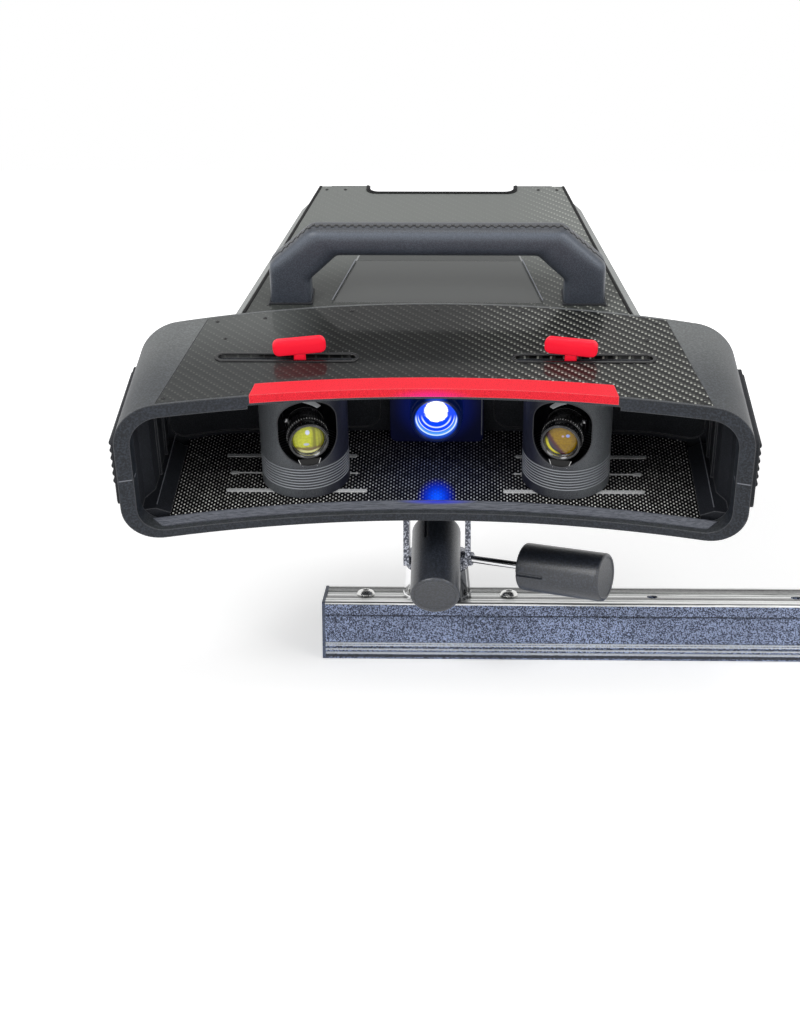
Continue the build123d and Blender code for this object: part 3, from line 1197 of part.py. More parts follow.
def cover_region(grow, z_low, z_high):
    """Plan of the smooth centre cover."""
    points = mirrored_outline([
        (COVER_FRONT_HALF + grow, COVER_FRONT_Y - grow),
        (COVER_REAR_HALF + grow, COVER_REAR_Y + grow),
    ])
    return prism(points, z_low, z_high)


def centre_cover():
    """Smooth cover let into the rear panel under the handle."""
    return cover_region(0, REAR_HEIGHT - COVER_THICKNESS, REAR_HEIGHT)


def bay_edging():
    """Rubber edging round the notch of the rear panel."""
    low = REAR_HEIGHT - REAR_CEILING
    top = REAR_HEIGHT + NOTCH_EDGING_PROUD
    edging = rear_bay(0, low, top) - rear_bay(-NOTCH_EDGING, low - 1, top + 1)
    return edging & block(-2 * NOTCH_HALF_WIDTH, 2 * NOTCH_HALF_WIDTH, 0, REAR_END_Y, low, top)


def bottom_cover():
    """Sheet that closes the rear body from below."""
    margin = REAR_SHELL_WALL + SEAT_GAP
    cover = prism(rear_outline(margin), 0, BOTTOM_COVER_THICKNESS)
    cover -= rear_bay(margin, -1, BOTTOM_COVER_THICKNESS + 1)
    return cover - behind_hood(-1, BOTTOM_COVER_THICKNESS + 1)


# ------------------------------------------------------------------ carrying handle
def carry_handle():
    """Leather-covered handle: a straight bar with slanted shoulders and two feet."""
    low = REAR_HEIGHT + FOOT_PAD_THICKNESS
    top = REAR_HEIGHT + HANDLE_HEIGHT
    points = mirrored_outline([
        (HANDLE_HALF_WIDTH - HANDLE_FOOT_WIDTH, low),
        (HANDLE_HALF_WIDTH, low),
        (HANDLE_HALF_WIDTH, REAR_HEIGHT + HANDLE_LEG_HEIGHT),
        (HANDLE_TOP_HALF, top),
    ])
    inner = mirrored_outline([
        (HANDLE_INNER_HALF, top - HANDLE_BAR_THICKNESS),
        (HANDLE_HALF_WIDTH - HANDLE_FOOT_WIDTH, REAR_HEIGHT + HANDLE_INNER_LEG),
        (HANDLE_HALF_WIDTH - HANDLE_FOOT_WIDTH, low - 1),
    ])
    outer_face = make_face(Polyline(*points[1:-1], close=True))
    inner_face = make_face(Polyline(*inner, close=True))
    plane = Plane(origin=(0, HANDLE_FRONT_Y, 0), x_dir=(1, 0, 0), z_dir=(0, -1, 0))
    body = extrude(plane * (outer_face - inner_face), -HANDLE_DEPTH)
    long_edges = body.faces().sort_by(Axis.Y)[0].edges() + body.faces().sort_by(Axis.Y)[-1].edges()
    rounded = [edge for edge in long_edges if edge.center().Z > low + 1]
    return fillet(rounded, HANDLE_EDGE_RADIUS)


def handle_pads():
    """Dark pads between the handle's feet and the rear panel."""
    inner = HANDLE_HALF_WIDTH - HANDLE_FOOT_WIDTH - FOOT_PAD_MARGIN
    outer = HANDLE_HALF_WIDTH + FOOT_PAD_MARGIN
    near = HANDLE_FRONT_Y - FOOT_PAD_MARGIN
    far = HANDLE_FRONT_Y + HANDLE_DEPTH + FOOT_PAD_MARGIN
    pad = block(inner, outer, near, far, REAR_HEIGHT, REAR_HEIGHT + FOOT_PAD_THICKNESS)
    return both_sides(pad)


# ------------------------------------------------------------------ working parts
def main_board():
    """Circuit board hung below the rear shell's ceiling on four posts."""
    half = BOARD_WIDTH / 2
    ceiling = REAR_HEIGHT - REAR_CEILING
    board = block(-half, half, BOARD_FRONT_Y, BOARD_REAR_Y, BOARD_Z, BOARD_Z + BOARD_THICKNESS)
    for x in (-half + BOARD_POST_INSET, half - BOARD_POST_INSET):
        for y in (BOARD_FRONT_Y + BOARD_POST_INSET, BOARD_REAR_Y - BOARD_POST_INSET):
            board += bar_z(BOARD_POST_RADIUS, BOARD_Z, ceiling, x, y)
    return board


def bay_wall_y():
    """Y of the inner face of the bay's wall, which the fan is screwed to."""
    return REAR_END_Y - NOTCH_DEPTH - REAR_SHELL_WALL


def fan_frame():
    """Square fan frame with struts that carry the motor's shaft."""
    half = FAN_SIZE / 2
    far = bay_wall_y()
    near = far - FAN_THICKNESS
    frame = block(FAN_X - half, FAN_X + half, near, far, FAN_Z - half, FAN_Z + half)
    frame -= bar_y(FAN_BORE_RADIUS, near - 1, far + 1, FAN_X, FAN_Z)
    strut = block(
        FAN_X - half + 1, FAN_X + half - 1, near, near + FAN_STRUT_THICKNESS,
        FAN_Z - FAN_STRUT_WIDTH / 2, FAN_Z + FAN_STRUT_WIDTH / 2)
    frame += strut
    frame += bar_y(FAN_HUB_RADIUS, near, near + FAN_STRUT_THICKNESS, FAN_X, FAN_Z)
    return frame + bar_y(FAN_SHAFT_RADIUS, near, far - FAN_SHAFT_SETBACK, FAN_X, FAN_Z)


def fan_rotor():
    """Hub with pitched blades on the fan's shaft."""
    far = bay_wall_y() - FAN_ROTOR_SETBACK
    near = bay_wall_y() - FAN_THICKNESS + FAN_STRUT_THICKNESS + BODY_GAP
    middle = (near + far) / 2
    rotor = bar_y(FAN_HUB_RADIUS, near, far, FAN_X, FAN_Z)
    blade = Rot(0, 0, FAN_BLADE_PITCH) * Box(
        FAN_BLADE_THICKNESS, far - near - 2 * FAN_BLADE_MARGIN, FAN_TIP_RADIUS)
    reach = FAN_HUB_RADIUS - FAN_BLADE_THICKNESS + FAN_TIP_RADIUS / 2
    for index in range(FAN_BLADES):
        place = Pos(FAN_X, middle, FAN_Z) * Rot(0, 360.0 / FAN_BLADES * index, 0) * Pos(0, 0, reach)
        rotor += place * blade
    rotor &= bar_y(FAN_TIP_RADIUS, near, far, FAN_X, FAN_Z)
    return rotor - bar_y(FAN_SHAFT_RADIUS + RUNNING_FIT, near - 1, far - FAN_HUB_FACE, FAN_X, FAN_Z)


def nodes_of_head():
    """Nodes of the crossbar and the head, in the row frame."""
    pan_rod_start = YOKE_DISC_RADIUS - HANDLE_ROD_BORE_DEPTH + BODY_GAP
    pan_rod_length = PAN_ROD_REACH + HANDLE_ROD_BORE_DEPTH - pan_rod_start
    tilt_rod_start = TILT_BORE_START + BODY_GAP
    tilt_rod_length = TILT_ROD_REACH + HANDLE_ROD_BORE_DEPTH - tilt_rod_start
    return {
        "rail_profile": rail_profile(),
        "rail_end_caps": rail_end_caps(),
        "rail_screws": rail_screws(),
        "head_base": head_base(),
        "head_bolt": head_bolt(),
        "pan_yoke": pan_yoke(),
        "tilt_pin": tilt_pin(),
        "pan_handle_rod": handle_rod(pan_handle_point(pan_rod_start), pan_direction(), pan_rod_length),
        "pan_handle_grip": handle_grip(pan_handle_point(PAN_ROD_REACH), pan_direction()),
        "tilt_block": tilt_block_with_bore(),
        "tilt_handle_rod": handle_rod(tilt_handle_point(tilt_rod_start), tilt_direction(), tilt_rod_length),
        "tilt_handle_grip": handle_grip(tilt_handle_point(TILT_ROD_REACH), tilt_direction()),
        "roll_plate": HEAD_TILT * roll_plate(),
        "roll_pin": HEAD_TILT * roll_pin(),
        "roll_knob": HEAD_TILT * roll_knob(),
    }


def nodes_of_turrets():
    """Nodes that slide with each camera, in the scanner's frame."""
    facing = Pos(-TURRET_X, TURRET_Y, 0) * Rot(0, 0, TOE_IN)
    left = {
        "turret": facing * turret(),
        "camera_block": facing * camera_block(),
        "lens_barrel": facing * lens_barrel(),
        "focus_ring": facing * focus_ring(),
        "iris_ring": facing * iris_ring(),
        "lens_glass": facing * lens_glass(),
        "slide_knob": facing * slide_knob(),
    }
    nodes = {"left_" + name: shape for name, shape in left.items()}
    for name, shape in left.items():
        nodes["right_" + name] = mirror(shape, about=Plane.YZ)
    return nodes


def nodes_of_scanner():
    """Nodes fixed in the scanner, in the scanner's frame."""
    return {
        "mount_plate": mount_plate(),
        "mount_screws": mount_screws(),
        "lower_shell": lower_shell(),
        "upper_shell": upper_shell(),
        "top_panel": top_panel(),
        "trim_strip": trim_strip(),
        "slot_liners": slot_liners(),
        "floor_plate": floor_plate(),
        "guide_bars": guide_bars(),
        "front_ledge": front_ledge(),
        "bulkhead": bulkhead(),
        "side_liners": both_sides(side_liner()),
        "projector_housing": projector_housing(),
        "projector_lens_barrel": projector_lens_barrel(),
        "projector_glass": projector_glass(),
        "light_engine": light_engine(),
        "heatsink": heatsink(),
        "side_pad_right": side_pad(),
        "side_pad_left": mirror(side_pad(), about=Plane.YZ),
        "rear_shell": rear_shell(),
        "rear_panel": rear_panel(),
        "centre_cover": centre_cover(),
        "bay_edging": bay_edging(),
        "bottom_cover": bottom_cover(),
        "carry_handle": carry_handle(),
        "handle_pads": handle_pads(),
        "main_board": main_board(),
        "fan_frame": fan_frame(),
        "fan_rotor": fan_rotor(),
        "rear_sockets": rear_sockets(),
        "power_switch": power_switch(),
    }


HEAD_TILT = Pos(0, 0, TILT_AXIS_Z) * Rot(REST_TILT, 0, 0)
SCANNER_PLACE = HEAD_TILT * Pos(0, -TILT_AXIS_Y, MOUNT_STACK)

for name, shape in nodes_of_head().items():
    export_step(shape, f"parts/{name}.step")

for name, shape in {**nodes_of_turrets(), **nodes_of_scanner()}.items():
    export_step(SCANNER_PLACE * shape, f"parts/{name}.step")
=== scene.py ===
"""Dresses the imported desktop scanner.

The solids are loaded as a fixed frame. This script gives every solid a procedural finish, replaces the
turned, wrapped and moulded ones by finer surfaces, adds small fittings, and sets the camera, the lights
and the floor. Shapes are worked out in millimetres, which Piece turns into metres; the sizes in finishes
and in the studio are metres. The scanner is designed level in its own frame and stands tipped nose-down on
its head; Tipped turns points from that level frame into the shared one.
"""
from __future__ import annotations

import logging
import math
from dataclasses import dataclass, field
from enum import Enum
from typing import Iterable, Sequence

import bpy
import numpy as np
from mathutils import Matrix


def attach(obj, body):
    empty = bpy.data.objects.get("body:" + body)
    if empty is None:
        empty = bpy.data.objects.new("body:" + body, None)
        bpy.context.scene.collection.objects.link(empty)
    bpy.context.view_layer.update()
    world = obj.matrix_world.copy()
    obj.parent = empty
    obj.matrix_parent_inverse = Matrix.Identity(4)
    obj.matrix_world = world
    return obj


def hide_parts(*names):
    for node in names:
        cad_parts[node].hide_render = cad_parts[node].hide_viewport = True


Array = np.ndarray
Triple = tuple[float, float, float]
Colour = Triple

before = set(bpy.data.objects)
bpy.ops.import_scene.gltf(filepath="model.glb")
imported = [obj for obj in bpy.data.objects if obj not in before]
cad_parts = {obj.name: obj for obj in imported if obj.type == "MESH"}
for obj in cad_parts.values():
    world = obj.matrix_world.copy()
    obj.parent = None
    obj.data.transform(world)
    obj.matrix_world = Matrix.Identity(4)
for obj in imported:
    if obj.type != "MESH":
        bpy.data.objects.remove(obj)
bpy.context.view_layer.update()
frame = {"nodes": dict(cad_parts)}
LOG = logging.getLogger("scanner")
MM = 0.001
COVER: Colour = (0.070, 0.074, 0.072)
LAMP = (0.0, 73.0 * MM, 43.0 * MM)
LAMP_RADIUS = 15.8 * MM
SHARP_ANGLE = math.radians(32)
SMALLEST_RADIUS = 0.001


# ---------------- surfaces
@dataclass
class Surface:
    """Points with the quads and triangles that join them.

    Args:
        points: One row of X, Y, Z per point.
        quads: Four point numbers per face.
        tris: Three point numbers per face.
    """

    points: Array
    quads: Array = field(default_factory=lambda: np.zeros((0, 4), np.int64))
    tris: Array = field(default_factory=lambda: np.zeros((0, 3), np.int64))

    def __add__(self, other: Surface) -> Surface:
        """Both surfaces as one, with the second one's point numbers moved up."""
        step = len(self.points)
        return Surface(
            np.vstack([self.points, other.points]),
            np.vstack([self.quads, other.quads + step]),
            np.vstack([self.tris, other.tris + step]),
        )

    def turned(self) -> Surface:
        """The same surface with its faces pointing the other way."""
        return Surface(self.points, self.quads[:, ::-1], self.tris[:, ::-1])

    def placed(self, axes: Array, origin: Sequence[float]) -> Surface:
        """Carries the surface into a frame.

        Args:
            axes: Rows are the directions that X, Y and Z become.
            origin: Where the frame's zero lies.

        Returns:
            The surface at its place.
        """
        return Surface(self.points @ np.asarray(axes, float) + np.asarray(origin, float), self.quads, self.tris)

    def moved(self, *step: float) -> Surface:
        """The same surface shifted by X, Y and Z."""
        return Surface(self.points + np.array(step, float), self.quads, self.tris)

    def mirrored(self, side: int = 1) -> Surface:
        """Mirror image about the middle plane, turned back outwards, where side is 1; else itself."""
        return Surface(self.points * (-1.0, 1.0, 1.0), self.quads, self.tris).turned() if side > 0 else self

    def outward(self) -> Surface:
        """Turned over where its volume, the sum of a . (b x c) over its triangles, is negative."""
        fans = np.vstack([self.tris, self.quads[:, [0, 1, 2]], self.quads[:, [0, 2, 3]]])
        near, middle, far = (self.points[fans[:, corner]] for corner in range(3))
        volume = float(np.einsum("ij,ij->", near, np.cross(middle, far)))
        return self.turned() if volume < 0 else self


def joined(parts: Iterable[Surface]) -> Surface:
    """All the given surfaces as one."""
    parts = list(parts)
    total = parts[0]
    for part in parts[1:]:
        total = total + part
    return total


def grid(points: Array, wrap_rows: bool = False, wrap_columns: bool = True) -> Surface:
    """Surface over a grid of points.

    Face (i, j) joins points (i, j), (i, j+1), (i+1, j+1) and (i+1, j).

    Args:
        points: Array of rows by columns by three.
        wrap_rows: Whether the last row joins the first.
        wrap_columns: Whether the last column joins the first.

    Returns:
        The surface.
    """
    rows, columns = points.shape[:2]
    number = np.arange(rows * columns).reshape(rows, columns)
    if wrap_rows:
        number = np.vstack([number, number[:1]])
    if wrap_columns:
        number = np.hstack([number, number[:, :1]])
    quads = np.stack([number[:-1, :-1], number[:-1, 1:], number[1:, 1:], number[1:, :-1]], -1)
    return Surface(points.reshape(-1, 3), quads.reshape(-1, 4))


def lidded(points: Array) -> Surface:
    """Closed grid whose first and last rows are filled by a fan about their middle.

    Args:
        points: Array of rows by columns by three; columns wrap round.

    Returns:
        The surface with its lids.
    """
    body = grid(points)
    rows, columns = points.shape[:2]
    around = np.arange(columns)
    after = np.roll(around, -1)
    hubs, tris = [], []
    for row, near, far in ((0, after, around), (rows - 1, around, after)):
        hub = np.full(columns, rows * columns + len(hubs))
        hubs.append(points[row].mean(axis=0))
        tris.append(np.stack([near + row * columns, far + row * columns, hub], -1))
    return Surface(np.vstack([body.points, *hubs]), body.quads, np.vstack([body.tris, *tris]))


def copies(form: Surface, axes: Array, origins: Array) -> Surface:
    """Many copies of one form: point p of copy n is p in the axes n, from the origin n.

    Args:
        form: The form that is repeated.
        axes: One set of three axes per copy.
        origins: One origin per copy.

    Returns:
        All the copies as one surface.
    """
    points = np.einsum("pk,nkj->npj", form.points, axes) + np.asarray(origins, float)[:, None, :]
    steps = (np.arange(len(origins)) * len(form.points))[:, None, None]
    return Surface(
        points.reshape(-1, 3), (form.quads[None] + steps).reshape(-1, 4), (form.tris[None] + steps).reshape(-1, 3))


def spun(angles: Array) -> Array:
    """Axes turned about Z: X points along (cos a, sin a, 0), one set per angle."""
    cos, sin, none, one = np.cos(angles), np.sin(angles), np.zeros(len(angles)), np.ones(len(angles))
    return np.stack([
        np.stack([cos, sin, none], -1), np.stack([-sin, cos, none], -1), np.stack([none, none, one], -1)], 1)


def oval(half_up: float, half_side: float, steps: int = 10, power: float = 2.0) -> Array:
    """Section (a c^(2/p), b s^(2/p)) with c and s the cosine and sine of the turn, signs kept."""
    turn = np.linspace(0, 2 * math.pi, steps, endpoint=False)
    cos, sin = np.cos(turn), np.sin(turn)
    return np.stack([
        half_up * np.sign(cos) * np.abs(cos) ** (2 / power), half_side * np.sign(sin) * np.abs(sin) ** (2 / power)], -1)


def swept(path: Array, lift: Sequence[float] | Array, section: Array, closed: bool = True) -> Surface:
    """Section carried along a path: point (i, k) is path i + u_k lift i + v_k side i.

    The side is the path's direction crossed with the lift, which is made square to the path.

    Args:
        path: Rows of points.
        lift: Direction of the section's first number, one for all or one per point.
        section: Rows of the two numbers u and v.
        closed: Whether the path's end joins its start.

    Returns:
        The closed surface.
    """
    ahead = np.roll(path, -1, 0) - np.roll(path, 1, 0) if closed else np.gradient(path, axis=0)
    ahead = ahead / np.linalg.norm(ahead, axis=1, keepdims=True)
    up = np.broadcast_to(np.asarray(lift, float), path.shape)
    up = up - (up * ahead).sum(1, keepdims=True) * ahead
    up = up / np.linalg.norm(up, axis=1, keepdims=True)
    side = np.cross(ahead, up)
    points = path[:, None] + section[None, :, :1] * up[:, None] + section[None, :, 1:] * side[:, None]
    return (grid(points, wrap_rows=True) if closed else lidded(points)).outward()


def revolved(profile: Array, segments: int, swell: Array | None) -> Array:
    """Rows of points about Z: (r_k cos a, r_k sin a, z_k), with r_k changed by a swell.

    Args:
        profile: Rows of radius and height.
        segments: Points around.
        swell: Amount added to the radius, rows by segments.

    Returns:
        Array of rows by segments by three.
    """
    angles = np.linspace(0, 2 * math.pi, segments, endpoint=False)
    radius = profile[:, :1] + (np.zeros((1, segments)) if swell is None else swell)
    height = np.broadcast_to(profile[:, 1:], radius.shape)
    return np.stack([radius * np.cos(angles), radius * np.sin(angles), height], -1)


def turned_ring(profile: Array, segments: int = 96, swell: Array | None = None) -> Surface:
    """Ring about Z whose closed profile is carried round, as revolved gives it."""
    return grid(revolved(profile, segments, swell), wrap_rows=True).outward()


def turned_form(profile: Array, segments: int = 96, swell: Array | None = None) -> Surface:
    """Form about Z whose profile runs from the bottom lid's rim to the top lid's, as revolved gives it."""
    return lidded(revolved(profile, segments, swell)).outward()


def domed(radius: float, top: float, dome: float, foot: float, reach: float, steps: int, segments: int) -> Surface:
    """Dome of height top - d(r/R)^2 over a short cylinder.

    Args:
        radius: R, the radius of the rim.
        top: Height of the crown.
        dome: d, how far the rim lies below it.
        foot: Height of the cylinder's lower end.
        reach: Share of a quarter turn that the rows cover.
        steps: Number of rows.
        segments: Points around.

    Returns:
        The closed form.
    """
    share = np.cos(np.linspace(0, math.pi / 2 * reach, steps))
    rows = np.column_stack([radius * share, top - dome * share ** 2])
    return turned_form(np.vstack([[(radius, foot)], rows]), segments)


def hexagonal(profile: Array, segments: int, inside: float) -> Array:
    """Swell that makes a hexagon of the rows inside a radius: r / cos(turn from the flat's middle) - r."""
    turn = np.linspace(0, 2 * math.pi, segments, endpoint=False)
    flat = 1 / np.cos((turn + math.pi / 6) % (math.pi / 3) - math.pi / 6) - 1
    return profile[:, :1] * flat * (profile[:, :1] < inside)


def arc(radius: float, start: float, end: float, steps: int, height: float) -> Array:
    """Points (r cos a, r sin a, h) with a from start to end, in degrees."""
    turn = np.linspace(math.radians(start), math.radians(end), steps)
    return np.column_stack([radius * np.cos(turn), radius * np.sin(turn), np.full(steps, height)])


def rounded_profile(corners: Sequence[Triple], steps: int = 5) -> Array:
    """Profile with rounded corners: each corner becomes an arc tangent to both of its runs.

    Args:
        corners: Radius, height and rounding of each corner.
        steps: Points in each arc.

    Returns:
        Rows of radius and height.
    """
    points = [np.array(corners[0][:2], float)]
    for before, here, after in zip(corners, corners[1:], corners[2:]):
        place = np.array(here[:2], float)
        back = np.array(before[:2], float) - place
        ahead = np.array(after[:2], float) - place
        back /= np.linalg.norm(back)
        ahead /= np.linalg.norm(ahead)
        half = math.acos(float(np.clip(back @ ahead, -1, 1))) / 2
        if here[2] <= 0 or half > 1.55:
            points.append(place)
            continue
        reach = here[2] / math.tan(half)
        middle = back + ahead
        centre = place + middle / np.linalg.norm(middle) * here[2] / math.sin(half)
        start, end = place + back * reach - centre, place + ahead * reach - centre
        sweep = math.pi - 2 * half
        share = np.linspace(0, 1, steps)[:, None]
        curve = (np.sin((1 - share) * sweep) * start + np.sin(share * sweep) * end) / math.sin(sweep)
        points.extend(centre + curve)
    points.append(np.array(corners[-1][:2], float))
    return np.array(points)


def rounded_rectangle(half_width: float, half_height: float, radius: float, steps: int = 7) -> Array:
    """Outline of a rounded rectangle, anticlockwise: four quarter arcs joined by straight runs.

    Args:
        half_width: Half of its width.
        half_height: Half of its height.
        radius: Corner radius.
        steps: Points in each quarter arc.

    Returns:
        Rows of X and Y.
    """
    turn = np.linspace(0, math.pi / 2, steps)
    corners = []
    for index, (sx, sy) in enumerate(((1, 1), (-1, 1), (-1, -1), (1, -1))):
        angles = turn + index * math.pi / 2
        centre = (sx * (half_width - radius), sy * (half_height - radius))
        corners.append(np.stack([centre[0] + radius * np.cos(angles), centre[1] + radius * np.sin(angles)], -1))
    return np.vstack(corners)


@dataclass(frozen=True)
class Slab:
    """Plate with a rounded outline and rounded rims, flat in XY and centred on zero.

    Args:
        half_width: Half size in X.
        half_height: Half size in Y.
        thickness: Size in Z.
        corner: Outline radius.
        rim: Radius of the rounded rims.
        steps: Points in each corner.
    """

    half_width: float
    half_height: float
    thickness: float
    corner: float
    rim: float
    steps: int = 7

    def surface(self) -> Surface:
        """Rows of the outline drawn in by r(1 - cos a) at height r sin a along each rim."""
        turn = np.linspace(0, math.pi / 2, 5)
        inset = self.rim * (1 - np.sin(turn))
        rise = self.rim * (1 - np.cos(turn))
        insets = np.concatenate([inset, inset[::-1]])
        heights = np.concatenate([rise, self.thickness - rise[::-1]]) - self.thickness / 2
        rings = []
        for drawn_in, height in zip(insets, heights):
            outline = rounded_rectangle(
                self.half_width - drawn_in, self.half_height - drawn_in,
                max(self.corner - drawn_in, SMALLEST_RADIUS), self.steps)
            rings.append(np.column_stack([outline, np.full(len(outline), height)]))
        return lidded(np.array(rings)).outward()


# ---------------- frames
@dataclass(frozen=True)
class Tipped:
    """The scanner's level frame: X across, Y to the rear, Z up, tipped about the head's tilt axis.

    Args:
        tilt: Nose-down angle in degrees.
        axis_height: Height of the tilt axis.
        axis_back: The tilt axis's Y in the level frame.
        axis_drop: How far it lies below the level frame's zero.
    """

    tilt: float = 19.2
    axis_height: float = 127.0
    axis_back: float = 99.2
    axis_drop: float = 44.5

    @property
    def axes(self) -> Array:
        """Rows are the directions of the level frame's axes."""
        cos, sin = math.cos(math.radians(self.tilt)), math.sin(math.radians(self.tilt))
        return np.array([[1, 0, 0], [0, cos, sin], [0, -sin, cos]], float)

    @property
    def origin(self) -> Array:
        """Where the level frame's zero lies."""
        return np.array([0, -self.axis_back, self.axis_drop]) @ self.axes + (0, 0, self.axis_height)

    def put(self, surface: Surface) -> Surface:
        """Carries a surface out of the level frame."""
        return surface.placed(self.axes, self.origin)


TIPPED = Tipped()


def facing(direction: Sequence[float]) -> Array:
    """Rows are axes whose Z looks along a direction and whose Y leans upwards."""
    z_axis = np.asarray(direction, float) / np.linalg.norm(direction)
    x_axis = np.cross((0, 0, 1), z_axis)
    x_axis /= np.linalg.norm(x_axis)
    return np.array([x_axis, np.cross(z_axis, x_axis), z_axis])


# ---------------- pieces
class Piece:
    """One Blender object of the part, made from a surface."""

    def __init__(self, name: str, surface: Surface, finish: bpy.types.Material, body: str, slot: str) -> None:
        """Builds the mesh and lets it ride.

        Args:
            name: The piece's name.
            surface: Its shape in the shared frame, in millimetres.
            finish: Its material.
            body: The body it rides on.
            slot: Name of a material slot; not used.
        """
        self.surface = surface
        self.object = bpy.data.objects.new(name, self._mesh(name))
        self.object.data.materials.append(finish)
        bpy.context.scene.collection.objects.link(self.object)
        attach(self.object, body)
        LOG.info("%s: %d points", name, len(surface.points))

    def _mesh(self, name: str) -> bpy.types.Mesh:
        """Mesh of the surface, with smooth faces and its hard edges split by angle."""
        mesh = bpy.data.meshes.new(name)
        quads, tris = self.surface.quads, self.surface.tris
        mesh.vertices.add(len(self.surface.points))
        mesh.vertices.foreach_set("co", (self.surface.points * MM).astype(np.float32).ravel())
        mesh.loops.add(quads.size + tris.size)
        mesh.loops.foreach_set("vertex_index", np.concatenate([quads.ravel(), tris.ravel()]).astype(np.int32))
        starts = np.concatenate([np.arange(len(quads)) * 4, quads.size + np.arange(len(tris)) * 3])
        mesh.polygons.add(len(quads) + len(tris))
        mesh.polygons.foreach_set("loop_start", starts.astype(np.int32))
        mesh.update(calc_edges=True)
        mesh.validate()
        mesh.shade_smooth()
        mesh.set_sharp_from_angle(angle=SHARP_ANGLE)
        return mesh

    def instead_of(self, *nodes: str) -> Piece:
        """Stands for these solids, which are no longer shown."""
        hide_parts(*nodes)
        return self


# ---------------- materials
class Space(Enum):
    """Which frame a pattern is laid out in."""

    SHARED = "shared"
    LEVEL = "level"


class Side(Enum):
    """Which of a pair a piece is, as the sign of its X."""

    LEFT = -1
    RIGHT = 1

    @property
    def word(self) -> str:
        """The side's name in small letters."""
        return self.name.lower()


def feed(socket: bpy.types.NodeSocket, value: object) -> None:
    """Links a socket to a wire or sets it to a plain value, and a colour gets its fourth number."""
    if isinstance(value, Wire):
        value.tree.links.new(value.socket, socket)
    elif socket.type == "RGBA":
        socket.default_value = (*value, 1.0)
    else:
        socket.default_value = value


def add(tree: bpy.types.NodeTree, kind: str, inputs: dict[str | int, object] | None = None,
        output: str | int = 0, **settings: object) -> Wire:
    """Adds a node.

    Args:
        tree: The tree that gets it.
        kind: Its type, without the leading ShaderNode.
        inputs: What feeds its inputs, by name or number.
        output: Name or number of the output that is wanted.
        settings: Its own settings.

    Returns:
        The wire that leaves it.
    """
    node = tree.nodes.new(f"ShaderNode{kind}")
    for key, value in settings.items():
        setattr(node, key, value)
    for key, value in (inputs or {}).items():
        feed(node.inputs[key], value)
    return Wire(tree, node.outputs[output])


